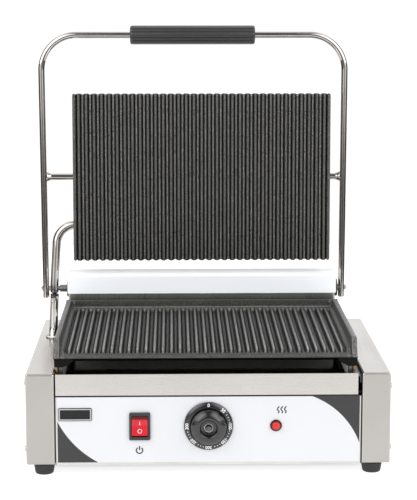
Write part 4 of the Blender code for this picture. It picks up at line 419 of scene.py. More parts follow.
bm = bmesh.new()
low_mark = (0, -0.0058)
band(bm, ring_points(0.0018, 32, low_mark), ring_points(0.0024, 32, low_mark), on_rocker, MARK_THICKNESS)
made("rocker_ring", bm, mark_white, "rocker", "red_rocker", smooth=0)

# Dial: a black moulded knob on the thermostat's shaft. Its skirt carries the heat settings as plain white numbers
# with dots between them. A groove runs round its grip, and its dished face has a plain printed ring.
SKIRT_RADIUS, SKIRT_ROOT_RADIUS, SKIRT_EDGE_OUT, SKIRT_ROOT_OUT = 0.0275, 0.0207, 0.0022, 0.0048
DISH_OUT, NUMBER_RADIUS = 0.0094, 0.0242
SETTINGS = (("0", 12), ("50", 1.4), ("100", 3), ("150", 4.5), ("200", 6), ("250", 7.5), ("300", 9))
DIAL_PROFILE = (
    (SKIRT_RADIUS - 0.0008, 0.0012), (SKIRT_RADIUS, 0.0013), (SKIRT_RADIUS, 0.0019),
    (SKIRT_RADIUS - 0.0002, SKIRT_EDGE_OUT), (0.0219, 0.0043), (0.0214, 0.0042), (0.0212, 0.0038), (0.0211, 0.0016),
    (0.0202, 0.0014), (0.0202, 0.0056), (0.0201, 0.0086), (0.0197, 0.0101), (0.0188, 0.0114), (0.0175, 0.01245),
    (0.0158, 0.0136), (0.0142, 0.0144), (0.0125, 0.0149), (0.0110, 0.0150), (0.0105, 0.0148), (0.0100, 0.0144),
    (0.0095, 0.0138), (0.0091, 0.0130), (0.0089, 0.0104), (0.0086, 0.0097), (0.0078, DISH_OUT), (0, 0.0092),
)
DENTED_FROM, DENT_SHARES = 9, (1.0, 1.0, 0.9, 0.7, 0.45, 0.2)
DENTS = ((radians(48), 0.0013, 0.16), (radians(20), 0.0010, 0.07), (radians(-90), 0.0005, 0.24))
dial_black, shader, place = finish("dial_black", Specular_IOR_Level=0.8)
speck = grain(place, 1500.0)
feed(shader, shades(speck, (0.006, 0.006, 0.0065), (0.014, 0.014, 0.0145)))
feed(shader, spread(grain(place, 120.0), 0.13, 0.22), "Roughness")
relief(shader, speck, 0.06, 0.0002)
dial_centre = Vector((0, FRONT_Y, CONTROLS_Z))


def turned(bm, profile, place, sides, radius_at=None, closed=False):
    """A profile of (radius, height) turned round local Z. A radius may change with index and angle."""
    rings = []
    for index, (radius, height) in enumerate(profile):
        ring = []
        for i in range(sides if radius else 1):
            angle = tau * i / sides
            r = radius_at(index, radius, angle) if radius_at else radius
            ring.append(bm.verts.new(place @ Vector((r * cos(angle), r * sin(angle), height))))
        rings.append(ring)
    if closed:
        rings.append(rings[0])
    for lower, upper in zip(rings, rings[1:]):
        if len(lower) == len(upper):
            skin(bm, [lower, upper])
        else:
            tip, ring = sorted((lower, upper), key=len)
            for i in range(sides):
                bm.faces.new((tip[0], ring[i], ring[(i + 1) % sides]))
    if not closed:
        for ring in (rings[0], rings[-1]):
            if len(ring) > 1:
                bm.faces.new(ring)


def facing(point, direction):
    """Takes local Z to a direction, with its origin at a point."""
    turn = Vector((0, 0, 1)).rotation_difference(Vector(direction)).to_matrix().to_4x4()
    return Matrix.Translation(point) @ turn


def dented(index, radius, angle):
    """The knob's cap has two thumb marks at its upper right and a flat at the bottom."""
    if not DENTED_FROM <= index < DENTED_FROM + len(DENT_SHARES):
        return radius
    cut = 0.0
    for middle, depth, width in DENTS:
        off = (angle - middle + pi) % tau - pi
        cut += depth * exp(-((off / width) ** 2))
    return radius - cut * DENT_SHARES[index - DENTED_FROM]


def on_skirt(u, v, w):
    share = (SKIRT_RADIUS - hypot(u, v)) / (SKIRT_RADIUS - SKIRT_ROOT_RADIUS)
    out = SKIRT_EDGE_OUT + (SKIRT_ROOT_OUT - SKIRT_EDGE_OUT) * min(max(share, 0), 1)
    return dial_centre + Vector((u, -out - 0.00004 - w, v))


def on_dish(u, v, w):
    return dial_centre + Vector((u, -DISH_OUT - 0.00003 - w, v))


def at_hour(hour):
    """The angle of an hour on a clock face, and its place on the skirt."""
    angle = pi / 2 - tau * hour / 12
    return angle, Vector((NUMBER_RADIUS * cos(angle), NUMBER_RADIUS * sin(angle)))


def taken(holder):
    """The finished mesh of a helper object, which is then removed."""
    bpy.context.view_layer.update()
    mesh = bpy.data.meshes.new_from_object(holder.evaluated_get(bpy.context.evaluated_depsgraph_get()))
    bpy.data.objects.remove(holder, do_unlink=True)
    return mesh


bm = bmesh.new()
turned(bm, DIAL_PROFILE, facing(dial_centre, (0, -1, 0)), 144, dented)
made("dial_knob", bm, dial_black, "dial", "dial_plastic", "thermostat_knob", smooth=40)
dress(rail_steel, "thermostat_shaft")
bm = bmesh.new()
for number, hour in SETTINGS:
    letters = bpy.data.curves.new("number", "FONT")
    letters.body = number
    letters.size = 0.0050
    letters.offset = 0.00012
    letters.align_x = letters.align_y = "CENTER"
    digits = taken(placed("number", letters))
    angle, centre = at_hour(hour)
    turn = Matrix.Rotation(angle - pi / 2, 2)
    spots = [turn @ v.co.xy + centre for v in digits.vertices]
    verts = [bm.verts.new(on_skirt(spot.x, spot.y, 0.00003)) for spot in spots]
    for face in digits.polygons:
        bm.faces.new([verts[i] for i in face.vertices])
    bpy.data.curves.remove(letters)
    bpy.data.meshes.remove(digits)
made("dial_numbers", bm, mark_white, "dial", "dial_plastic", smooth=0)
bm = bmesh.new()
for i in range(31):
    hour = 1.4 + 7.6 * i / 30
    if min(abs(hour - taken_hour) for number, taken_hour in SETTINGS) >= 0.30:
        prism(bm, ring_points(0.00055, 10, at_hour(hour)[1]), on_skirt, 0.00004)
made("dial_dots", bm, mark_white, "dial", "dial_plastic", smooth=0)
bm = bmesh.new()
band(bm, ring_points(0.0044, 48), ring_points(0.0049, 48), on_dish, 0.00004)
made("dial_ring", bm, mark_white, "dial", "dial_plastic", smooth=0)

# Pilot lamp: a clear red dome in a darker flange. It is lit from behind.
DOME_RADIUS, DOME_RISE, DOME_FOOT = 0.0048, 0.0030, 0.0022
glass_look = {"Roughness": 0.22, "Specular_IOR_Level": 0.4, "Emission_Strength": 0.2}
lamp_red, shader, place = finish("lamp_red", Subsurface_Weight=0.2, Subsurface_Scale=0.001, **glass_look)
lamp_centre = centre_of("lamp_lens")
lamp_centre.y = FRONT_Y
reach = distance(place, tuple(lamp_centre - Vector((0, 0.0040, 0))))
edge = spread(reach, 0.0, 1.0, 0.0036, 0.0058)
feed(shader, shades(edge, (0.50, 0.020, 0.014), (0.03, 0.001, 0.001), 0, 1))
feed(shader, shades(edge, (1.0, 0.07, 0.04), (0.02, 0.0, 0.0), 0, 0.8), "Emission Color")
profile = [(0.0060, 0.0003), (0.0066, 0.0004), (0.0067, 0.0010), (0.0064, 0.0016)]
profile += [(0.0056, 0.0019), (0.0050, 0.0019), (0.0049, DOME_FOOT)]
for i in range(1, 9):
    angle = pi / 2 * i / 8
    profile.append((DOME_RADIUS * cos(angle) if i < 8 else 0, DOME_FOOT + DOME_RISE * sin(angle)))
bm = bmesh.new()
turned(bm, profile, facing(lamp_centre, (0, -1, 0)), 48)
made("lamp_dome", bm, lamp_red, "base", "red_lens", "lamp_lens", smooth=40)

# Drip tray: a brushed steel pan that slides out, with a tall front strip. The pan behind the strip is painted a much
# darker colour, a painted shade of the recess it sits in.
tray_steel = brushed("tray_steel", (0.56, 0.535, 0.51), (0.61, 0.585, 0.56), (26, 1200, 1700), (0.24, 0.34), 0.05)
tree = tray_steel.node_tree
shader = tree.nodes["Principled BSDF"]
place = tree.nodes["Texture Coordinate"].outputs["Object"]
strip = shader.inputs["Base Color"].links[0].from_socket
depth = axes(place)["Y"]
# Painted shade: everything behind the strip's front is coloured much darker than the strip.
behind = spread(depth, 0.0, 1.0, FRONT_Y - 0.0006, FRONT_Y + 0.0004)
pan_painted_shade = shades(grain(place, 40.0), (0.05, 0.048, 0.046), (0.10, 0.098, 0.094))
feed(shader, mixed(behind, strip, pan_painted_shade))
dress(tray_steel, "drip_tray")

# Brass studs with nuts, on which the lower casting stands, and the brass bushes of the hinge. Fine lines round the
# studs stand in for their thread.
stud_brass, shader, place = finish("stud_brass", Metallic=1.0, Roughness=0.32)
feed(shader, shades(grain(place, 500.0), (0.40, 0.24, 0.11), (0.62, 0.44, 0.24)))
relief(shader, grain(place, 1.0, (100, 100, 6500)), 0.5, 0.0003)
dress(stud_brass, "shaft_bush_left", "shaft_bush_right", *["plate_stud_" + name[5:] for name in FOOT_NAMES])

# Heaters and the pan under the lower one: oxidised tube and matt black sheet. The thermostat is black too, the
# terminal block is cream, and the lid's pad is mineral wool.
heater_tube = speckled("heater_tube", (0.05, 0.045, 0.04), (0.11, 0.10, 0.09), 160.0, 0.5, Metallic=0.7)
dress(heater_tube, "lower_element", "upper_element")
black_sheet = speckled("black_sheet", (0.16, 0.16, 0.155), (0.20, 0.20, 0.195), 90.0, 0.55, Metallic=0.3)
dress(black_sheet, "heat_shield", "thermostat")
terminal_cream = speckled("terminal_cream", (0.70, 0.67, 0.58), (0.80, 0.78, 0.70), 300.0, 0.5)
dress(terminal_cream, "terminal_block")
wool = speckled("mineral_wool", (0.30, 0.26, 0.17), (0.48, 0.43, 0.30), 1.0, 0.95, (0.6, 0.001), (900, 200, 900))
dress(wool, "insulation_pad")

# Lower casting: iron cast with 33 ribs that rise to the back and run out at the front, inside a rim on three sides
# with a narrow ledge. It has a matt dark enamel that is lighter on edges and crests, partly as wear and partly as
# painted highlight, and it stands on four lugs.
RIBS, RIB_PITCH, RIB_DEPTH, RUN_OUT, FIELD_RISE = 33, 0.0096, 0.0045, 0.0050, 0.0042
RIB_FLANK = (
    (0.050, 1.00), (0.120, 0.98), (0.165, 0.91), (0.200, 0.78), (0.310, 0.20), (0.350, 0.05), (0.400, 0.00),
    (0.500, 0.00),
)
MIDDLE_X, HALF_PLATE, RIM, LEDGE, DRAFT = -0.0028, 0.1710, 0.0060, 0.0036, 0.0008
LUG_DEPTH, SAME_PLACE = 0.0220, 0.000003
base_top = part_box("left_side_housing")[1].z
plate_front, plate_rear = FRONT_Y + 0.006, FRONT_Y + 0.2439
rib_front, rib_rear = FRONT_Y + 0.0145, FRONT_Y + 0.2310
lip_top, crest_front, rim_top = base_top + 0.0185, base_top + 0.0245, base_top + 0.0378
lip_bottom, underside, lug_bottom = base_top + 0.0160, base_top + 0.0120, base_top + 0.0062
rim_outer = HALF_PLATE - DRAFT
rim_inner = rim_outer - RIM
ledge_outer = rim_inner - 0.0006
ledge_inner = ledge_outer - LEDGE
gutter = ledge_inner - 0.0014
field_edge = RIBS / 2 * RIB_PITCH
rear_wall = plate_rear - DRAFT - RIM
first_rib = (MIDDLE_X - (RIBS - 1) / 2 * RIB_PITCH, 0, 0)
cast_enamel, shader, place = finish("cast_enamel")
sand = grain(place, 1100.0, detail=2.0, roughness=0.8)
# The attribute lightens the enamel where it is worn and where highlights are painted onto crests, valleys and edges.
wear = add(place.id_data, "ShaderNodeAttribute", attribute_name="wear").outputs["Fac"]
thin = calc("MULTIPLY", wear, spread(sand, -0.5, 2.5, 0.34, 0.66))
feed(shader, shades(thin, (0.0065, 0.0065, 0.0062), (0.585, 0.573, 0.553), 0, 4))
feed(shader, spread(wear, 0.10, 0.55, 0.0, 0.6), "Specular IOR Level")
feed(shader, spread(sand, 0.28, 0.50), "Roughness")
relief(shader, sand, 0.6, 0.0005)


def start_tree(name, inputs):
    """A Geometry Nodes tree, its modifier's names for the inputs, and the inputs."""
    tree = bpy.data.node_groups.new(name, "GeometryNodeTree")
    names = {}
    for label, kind in inputs.items():
        socket = tree.interface.new_socket(label, in_out="INPUT", socket_type="NodeSocket" + kind)
        names[label] = socket.identifier
    tree.interface.new_socket("Shape", in_out="OUTPUT", socket_type="NodeSocketGeometry")
    return tree, names, tree.nodes.new("NodeGroupInput").outputs


def end_tree(tree, shape, material):
    dressed = add(tree, "GeometryNodeSetMaterial", {0: shape, "Material": material})
    tree.links.new(dressed.outputs[0], tree.nodes.new("NodeGroupOutput").inputs[0])


def grown(mesh, tree, names, values):
    """The plain mesh that a tree makes of another mesh, which is used up."""
    holder = placed(tree.name, mesh)
    modifier = holder.modifiers.new(tree.name, "NODES")
    modifier.node_group = tree
    for label, value in values.items():
        modifier[names[label]] = value
    result = taken(holder)
    bpy.data.meshes.remove(mesh)
    return result


repeat_inputs = {"Shape": "Geometry", "Count": "Int", "Start": "Vector", "Step": "Vector"}
repeat_inputs.update({"Weld": "Float", "Finish": "Material"})
repeat, repeat_names, given = start_tree("repeat", repeat_inputs)
line = add(repeat, "GeometryNodeMeshLine", {"Count": given["Count"], "Start Location": given["Start"]}, mode="OFFSET")
repeat.links.new(given["Step"], line.inputs["Offset"])
copies = add(repeat, "GeometryNodeInstanceOnPoints", {"Points": line.outputs[0], "Instance": given["Shape"]})
real = add(repeat, "GeometryNodeRealizeInstances", {0: copies.outputs[0]})
welded = add(repeat, "GeometryNodeMergeByDistance", {0: real.outputs[0], "Distance": given["Weld"]})
end_tree(repeat, welded.outputs[0], given["Finish"])


def ribbed_field(rows):
    """All ribs side by side, from the rows of points of one rib."""
    bm = bmesh.new()
    grid(bm, rows)
    values = {"Count": RIBS, "Start": first_rib, "Step": (RIB_PITCH, 0, 0), "Weld": 0.000002, "Finish": cast_enamel}
    return grown(mesh_of(bm, "rib", False), repeat, repeat_names, values)


def grid(bm, rows):
    """Faces through rows of points. The fourth number lightens the enamel: partly wear, partly painted highlight."""
    layer = bm.verts.layers.float.get("wear") or bm.verts.layers.float.new("wear")
    lines = []
    for row in rows:
        line = []
        for x, y, z, worn_and_highlit in row:
            vert = bm.verts.new((x, y, z))
            vert[layer] = worn_and_highlit
            line.append(vert)
        lines.append(line)
    for lower, upper in zip(lines, lines[1:]):
        for i in range(len(lower) - 1):
            bm.faces.new((lower[i], lower[i + 1], upper[i + 1], upper[i]))
    return lines


def both_flanks(flank):
    """A rib's whole profile of (across, share of its height) from one flank."""
    return [(-across, share) for across, share in reversed(flank)] + list(flank)


def crest_at(y):
    return crest_front + FIELD_RISE / (rib_rear - rib_front) * (y - rib_front)


def side_columns(y, floor, crest, rim):
    """Place, height and enamel lightening (wear and painted highlight) across one side, from the rim's outer edge to
    the ribs.
    """
    step, rise = 1 if rim - crest > 0.001 else 0, crest - floor
    # Painted highlight: a light line at the foot of the rear wall, and lighter enamel along the front rows.
    bare = 0.38 if y < rib_front + 0.0001 else 0.9 if rear_wall - 0.0013 < y < rear_wall - 0.00035 else 0.0
    return [
        (rim_outer, rim - 0.0012 * step, 0.30),
        (rim_outer - 0.0003, rim - 0.0004 * step, 0.8),
        (rim_outer - 0.0011, rim, 0.75),
        (rim_inner + 0.0011, rim, 0.75),
        (rim_inner + 0.0003, rim - 0.0004 * step, 0.8),
        (rim_inner, rim - 0.0012 * step, 0.35),
        (ledge_outer + 0.0001, crest + 0.0010 * step, 0.25),
        (ledge_outer - 0.0008, crest + 0.0001 * step, 0.45),
        (ledge_inner + 0.0004, crest - rise * 0.05, 0.55),
        (ledge_inner, crest - rise * 0.2, 0.9),
        (gutter, floor + rise * 0.06, max(0.10, bare)),
        (field_edge, floor, max(0.25, bare)),
    ]


def below(co, out, z):
    share = Vector(((co.x - middle.x) / half.x, (co.y - middle.y) / half.y))
    return (middle.x + share.x * (half.x + out), middle.y + share.y * (half.y + out), z)


# Places along a rib, with how far it has risen there and how far its valley is filled.
risen = ((0, 0.0), (0.18, 0.30), (0.42, 0.68), (0.70, 0.91), (1, 1.0))
stations = [(rib_front + RUN_OUT * along, up, 0.0) for along, up in risen]
stations += [(rib_front + 0.06 * i, 1.0, 0.0) for i in (1, 2, 3)]
filled = ((0.0046, 0.0), (0.0036, 0.10), (0.0010, 0.86), (0.0, 1.0))
stations += [(rib_rear - before, 1.0, fill) for before, fill in filled]
rows = []
for y, up, fill in stations:
    # Painted highlight: the crest lines are lighter towards the front and fainter where the ribs run out.
    near = (1.5 - 0.9 * (y - rib_front) / (rib_rear - rib_front)) * (0.35 + 0.55 * up * up)
    row = []
    for across, share in both_flanks(RIB_FLANK):
        valley = share < 0.02
        height = max(share * up, fill) if fill < 1 else 1.0
        worn_and_highlit = 0.05 if share < 0.80 else 0.09 if share < 0.95 else 0.50 * near if share < 0.99 else 1.40 * near
        if up == 0 or valley:
            worn_and_highlit = 0.38
        worn_and_highlit = max(worn_and_highlit, (1.2 if valley and fill < 1 else 0.5) * fill)
        row.append((across * RIB_PITCH, y, crest_at(y) - RIB_DEPTH * (1 - height), worn_and_highlit))
    rows.append(row)
rib_mesh = ribbed_field(rows)

# Rows across the whole casting, each with its place and the heights of valley, crest and rim.
lip = ((0.0, 0.0016), (0.0004, 0.0005), (0.0012, 0.0))
levels = [(plate_front + back, *[lip_top - fall] * 3) for back, fall in lip]
front_count = len(levels) + 1
for y, up, fill in stations:
    rim = lip_top + (rim_top - lip_top) * min(1.0, (y - plate_front) / 0.0112)
    floor = crest_at(y) - RIB_DEPTH * (1 - fill)
    levels.append((y, floor, floor + (crest_at(y) - floor) * up, rim))
rear_start = len(levels) - 1
for y, rise in ((-0.0018, 0.0), (-0.0012, 0.0001), (-0.0004, 0.0010), (-0.0003, 0.0016)):
    levels.append((rear_wall + y, *[crest_at(rib_rear) + rise] * 2, rim_top))
for y, fall in ((0.0, 0.0012), (0.0003, 0.0004), (0.0011, 0.0)):
    levels.append((rear_wall + y, *[rim_top - fall] * 2, rim_top))
for y, fall in ((-0.0020, 0.0), (-0.0012, 0.0004), (-0.0008, 0.0012)):
    levels.append((plate_rear + y, *[rim_top - fall] * 3))
bm = bmesh.new()
edges = {}
for side in (-1, 1):
    rows = []
    for y, floor, crest, rim in levels:
        rows.append([(MIDDLE_X + side * x, y, z, w) for x, z, w in side_columns(y, floor, crest, rim)])
    edges[side] = grid(bm, rows)
for part in (range(front_count), range(rear_start, len(levels))):
    for a, b in zip(part, part[1:]):
        bm.faces.new((edges[-1][a][-1], edges[1][a][-1], edges[1][b][-1], edges[-1][b][-1]))
loop = edges[-1][0] + edges[1][0][::-1] + [row[0] for row in edges[1][1:-1]]
loop += edges[1][-1] + edges[-1][-1][::-1] + [row[0] for row in reversed(edges[-1][1:-1])]
middle = Vector((MIDDLE_X, (plate_front + plate_rear - DRAFT) / 2))
half = Vector((rim_outer, (plate_rear - DRAFT - plate_front) / 2))
rings = [loop]
for out, z in ((0.0006, 0.0004), (0.0003, 0.0), (-0.0012, -0.0002), (-0.0078, underside - lip_bottom)):
    rings.append([bm.verts.new(below(vert.co, out, lip_bottom + z)) for vert in loop])
skin(bm, rings)
bm.faces.new(rings[-1])
lug_outline = [
    (0, lip_bottom - 0.0003), (0.0003, lug_bottom + 0.0008), (0.0011, lug_bottom), (0.0100, lug_bottom),
    (0.0112, lug_bottom + 0.0005), (0.0215, underside + 0.0004), (0.0215, lip_bottom - 0.0003),
]
for side in (-1, 1):
    for near in (plate_front + 0.0020, plate_rear - 0.0240):
        prism(bm, lug_outline, lambda u, v, w: (MIDDLE_X + side * (rim_outer - u), near + w, v), LUG_DEPTH)
bm.from_mesh(rib_mesh)
bmesh.ops.remove_doubles(bm, verts=bm.verts, dist=SAME_PLACE)
made("lower_casting", bm, cast_enamel, "base", "casting", "lower_plate", smooth=50)

# Hinge housing: a folded channel behind the lower casting, under a steel cover whose protective film is still on.
# The shaft turns in brass bushes in the channel's cheeks, with a black washer at each end of the cover.
WASHER_BORE = 0.0052
channel_steel = brushed("channel_steel", (0.44, 0.44, 0.41), (0.56, 0.56, 0.53), (1300, 60, 30), (0.26, 0.36), 0.2)
dress(channel_steel, "hinge_bracket")
# Painted light: the film glows faintly, though it is no lamp, which keeps it bright all over.
film_look_with_painted_glow = {"Specular_IOR_Level": 0.35, "Emission_Strength": 0.13}
cover_film = speckled(
    "cover_film", (0.90, 0.935, 0.975), (0.93, 0.96, 1.0), 30.0, 0.5, (0.10, 0.0010), (1, 1, 3), 4.0, **film_look_with_painted_glow
)
dress(cover_film, "hinge_cover")
shaft_look = {"stretch": (1500, 90, 90), "Metallic": 1.0}
shaft_steel = speckled("shaft_steel", (0.30, 0.29, 0.27), (0.50, 0.49, 0.46), 1.0, 0.26, **shaft_look)
dress(shaft_steel, "hinge_shaft", "spring_collar_left", "spring_collar_right")
dress(rail_steel, "hinge_spring_left", "hinge_spring_right")
washer_black = speckled("washer_black", (0.010, 0.010, 0.010), (0.022, 0.022, 0.022), 1000.0, 0.45)
shaft_centre = centre_of("hinge_shaft")
cover_low, cover_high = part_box("hinge_cover")
bm = bmesh.new()
for side, start, thick in ((-1, cover_low.x, 0.0014), (1, cover_high.x, 0.0030)):
    profile = [(WASHER_BORE, 0.0002), (0.0104, 0.0002), (0.0110, 0.0006), (0.0110, thick - 0.0004)]
    profile += [(0.0106, thick), (WASHER_BORE, thick)]
    place = facing((start, shaft_centre.y, shaft_centre.z), (side, 0, 0))
    turned(bm, profile, place, 48, closed=True)
made("hinge_washers", bm, washer_black, "base", "black_plastic", smooth=40)

# Handle frame: one chromed rod bent twice into a wide arch, screwed through its flattened tails to the shaft.
LEAN, BAR_HEIGHT, BEND_RADIUS = radians(-2.0), 0.3195, 0.044
ROD_LEFT, ROD_RIGHT, ROD_RADIUS, ROD_TAIL, ROD_END = -0.2005, 0.1752, 0.0039, 0.012, 0.0005
HINGE = Vector((0, 0.1236, base_top + 0.0470))
in_frame = Matrix.Translation(HINGE) @ Matrix.Rotation(LEAN, 4, "X")


def chromed(name, dark, light, scale, rough):
    material, shader, place = finish(name, Metallic=1.0, Specular_Tint=(0.22, 0.18, 0.15, 1))
    feed(shader, shades(grain(place, 60.0), dark, light))
    feed(shader, spread(grain(place, scale), *rough), "Roughness")
    return material


def bent(corners, radius, steps):
    """A path through corner points with each inner corner rounded."""
    corners = [Vector(c) for c in corners]
    path = [corners[0]]
    for before, corner, after in zip(corners, corners[1:], corners[2:]):
        back, on = (before - corner).normalized(), (after - corner).normalized()
        turn = pi - back.angle(on)
        reach = radius * tan(turn / 2)
        centre = corner + (back + on).normalized() * (radius / cos(turn / 2))
        start, end = (corner + back * reach - centre).normalized(), (corner + on * reach - centre).normalized()
        path += [centre + start.slerp(end, i / steps) * radius for i in range(steps + 1)]
    return path + [corners[-1]]


def tube(bm, path, radii, place, sides=48):
    """A round section along a path, with a radius for each point or one for all."""
    path = [Vector(p) for p in path]
    radii = radii if isinstance(radii, list) else [radii] * len(path)
    tangents = []
    for i in range(len(path)):
        before = path[i] - path[i - 1] if i else path[1] - path[0]
        after = path[i + 1] - path[i] if i < len(path) - 1 else before
        tangents.append((before.normalized() + after.normalized()).normalized())
    side = tangents[0].orthogonal().normalized()
    rings = []
    for i, (point, tangent) in enumerate(zip(path, tangents)):
        if i:
            side = tangents[i - 1].rotation_difference(tangent) @ side
        other = tangent.cross(side)
        angles = [tau * k / sides for k in range(sides)]
        ring = [point + (side * cos(a) + other * sin(a)) * radii[i] for a in angles]
        rings.append([bm.verts.new(place @ p) for p in ring])
    skin(bm, rings)
    bm.faces.new(rings[0])
    bm.faces.new(rings[-1])


chrome = chromed("chrome", (0.55, 0.52, 0.50), (0.65, 0.62, 0.595), 90.0, (0.06, 0.11))
corners = [
    (ROD_LEFT, 0, -ROD_TAIL), (ROD_LEFT - 0.0030, 0, BAR_HEIGHT), (ROD_RIGHT + 0.0022, 0, BAR_HEIGHT),
    (ROD_RIGHT, 0, -ROD_TAIL),
]
path = bent(corners, BEND_RADIUS, 48)
begin, end = (path[1] - path[0]).normalized(), (path[-2] - path[-1]).normalized()
path = [path[0], path[0] + begin * ROD_END] + path[1:-1] + [path[-1] + end * ROD_END, path[-1]]
radii = [ROD_RADIUS - ROD_END] + [ROD_RADIUS] * (len(path) - 2) + [ROD_RADIUS - ROD_END]
bm = bmesh.new()
tube(bm, path, radii, in_frame)
made("handle_rod", bm, chrome, "lid_frame", "chrome_rod", "handle_frame", smooth=40)

# Pivot pins, flared where they are welded to the rod, on which the lid floats.
PIVOT = 0.142
bm = bmesh.new()
for side, name in ((-1, "left"), (1, "right")):
    low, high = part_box("pivot_pin_" + name)
    length = high.x - low.x
    root = low.x if side < 0 else high.x
    profile = [(0, -0.0006), (0.0052, -0.0006), (0.0060, 0.0003), (0.0060, 0.0008), (0.0052, 0.0022), (0.0043, 0.0044)]
    profile += [(0.0040, 0.0062), (0.0040, length - 0.0006), (0.0034, length), (0, length)]
    turned(bm, profile, in_frame @ facing((root, 0, PIVOT), (-side, 0, 0)), 32)
made("pivot_pins", bm, chrome, "lid_frame", "chrome_rod", "pivot_pin_left", "pivot_pin_right", smooth=40)

# Grip: a black moulded sleeve with grooves along it, in six pairs, pressed onto the middle of the bar.
GRIP_MIDDLE, GRIP_HALF = (ROD_LEFT + ROD_RIGHT) / 2 - 0.0012, 0.078
GRIP_END = ((0.0042, 0.0), (0.0098, 0.0), (0.0109, 0.0005), (0.0115, 0.0016), (0.0117, 0.0030))
GRIP_GROOVES = [radians(60 * i + side * 10) for i in range(6) for side in (-1, 1)]
GROOVE_DEPTH, GROOVE_WIDTH, GROOVED_FROM = 0.0012, 0.055, 0.0100
grip_black = speckled(
    "grip_black", (0.026, 0.026, 0.0265), (0.036, 0.036, 0.0365), 500.0, 0.34, (0.05, 0.0003), Specular_IOR_Level=0.75
)


def grooved(index, radius, angle):
    if radius < GROOVED_FROM:
        return radius
    nearest = min(abs((angle - groove + pi) % tau - pi) for groove in GRIP_GROOVES)
    return radius - GROOVE_DEPTH * exp(-((nearest / GROOVE_WIDTH) ** 2))


profile = list(GRIP_END) + [(radius, 2 * GRIP_HALF - along) for radius, along in reversed(GRIP_END)]
bm = bmesh.new()
turned(bm, profile, in_frame @ facing((GRIP_MIDDLE - GRIP_HALF, 0, BAR_HEIGHT), (1, 0, 0)), 216, grooved, closed=True)
made("grip_sleeve", bm, grip_black, "lid_frame", "grip_plastic", "handle_grip", smooth=45)

# Wiring tube: its upper half turns with the lid frame on a black ball, its lower half goes forward from a seal under
# the ball to a flange on the left side housing.
CONDUIT_X, CONDUIT_RADIUS, CONDUIT_OUT, CONDUIT_TOP = -0.1900, 0.0052, 0.0095, 0.080
moulded_black = speckled("moulded_black", (0.016, 0.016, 0.017), (0.028, 0.028, 0.029), 1100.0, 0.35, (0.12, 0.0002))
dress(moulded_black, "conduit_ball", "conduit_seal", "cable_gland")
corners = [
    (CONDUIT_X, 0, 0.0060), (CONDUIT_X + 0.0042, CONDUIT_OUT, CONDUIT_TOP),
    (CONDUIT_X + 0.0375, CONDUIT_OUT, CONDUIT_TOP),
]
path = [Vector((CONDUIT_X, 0, -0.0045))] + bent(corners, 0.024, 36)
bm = bmesh.new()
tube(bm, path, CONDUIT_RADIUS, in_frame)
made("upper_tube", bm, chrome, "lid_frame", "chrome_tube", "upper_conduit", smooth=40)
# Painted light: the lower tube and its flange take a much lighter copy of the chrome than the rod and upper tube, for
# their brighter reflections.
tube_chrome = chromed("tube_chrome", (0.80, 0.79, 0.77), (0.88, 0.87, 0.85), 110.0, (0.07, 0.11))
dress(tube_chrome, "conduit_flange")
flange_x, flange_y = CONDUIT_X + 0.0032, HINGE.y - 0.0765
corners = [
    (CONDUIT_X, HINGE.y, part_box("lower_conduit")[1].z), (CONDUIT_X, HINGE.y - 0.0020, base_top + 0.0340),
    (flange_x, flange_y + 0.0030, base_top + 0.0070), (flange_x, flange_y, base_top + 0.0003),
]
bm = bmesh.new()
tube(bm, bent(corners, 0.0068, 28), CONDUIT_RADIUS, Matrix.Identity(4))
made("lower_tube", bm, tube_chrome, "base", "chrome_tube", "lower_conduit", smooth=40)

# Upper casting: the same iron, with 33 straight ribs that run to its scalloped upper and lower edges between two
# smooth borders.
FACE, VALLEY, BACK = -0.0182, -0.0137, -0.0060
HALF_WIDE, HALF_HIGH, SCALLOP = 0.1615, 0.1050, 0.0009
UPPER_FLANK = (
    (0.090, 1.00), (0.145, 0.96), (0.185, 0.89), (0.225, 0.75), (0.325, 0.20), (0.370, 0.06), (0.430, 0.01),
    (0.500, 0.00),
)
ENDS = ((0.0, 0.0045), (0.0, 0.0022), (0.0004, 0.0010), (0.0014, 0.0002), (0.0030, 0.0))
# Columns of a border: place across, fall behind the face, share of the valley's depth, round of the corner and
# lightening of the enamel, by wear and painted highlight.
BORDER = (
    (HALF_WIDE, 0.0042, 0, 0.0016, 0.2), (HALF_WIDE - 0.0002, 0.0018, 0, 0.0011, 0.3),
    (HALF_WIDE - 0.0010, 0.0004, 0, 0.0004, 0.6), (HALF_WIDE - 0.0022, 0.0, 0, 0, 0.55),
    (HALF_WIDE - 0.0034, 0.0002, 0.05, 0, 0.55), (field_edge + 0.0008, 0.0, 0.93, 0, 0.1),
    (field_edge, 0.0, 1.0, 0, 0.8),
)


def to_back(lines):
    """Rows with the first and the last of them repeated at the casting's back."""
    ends = [[(x, BACK, z, worn_and_highlit) for x, y, z, worn_and_highlit in line] for line in (lines[0], lines[-1])]
    return [ends[0]] + lines + [ends[1]]


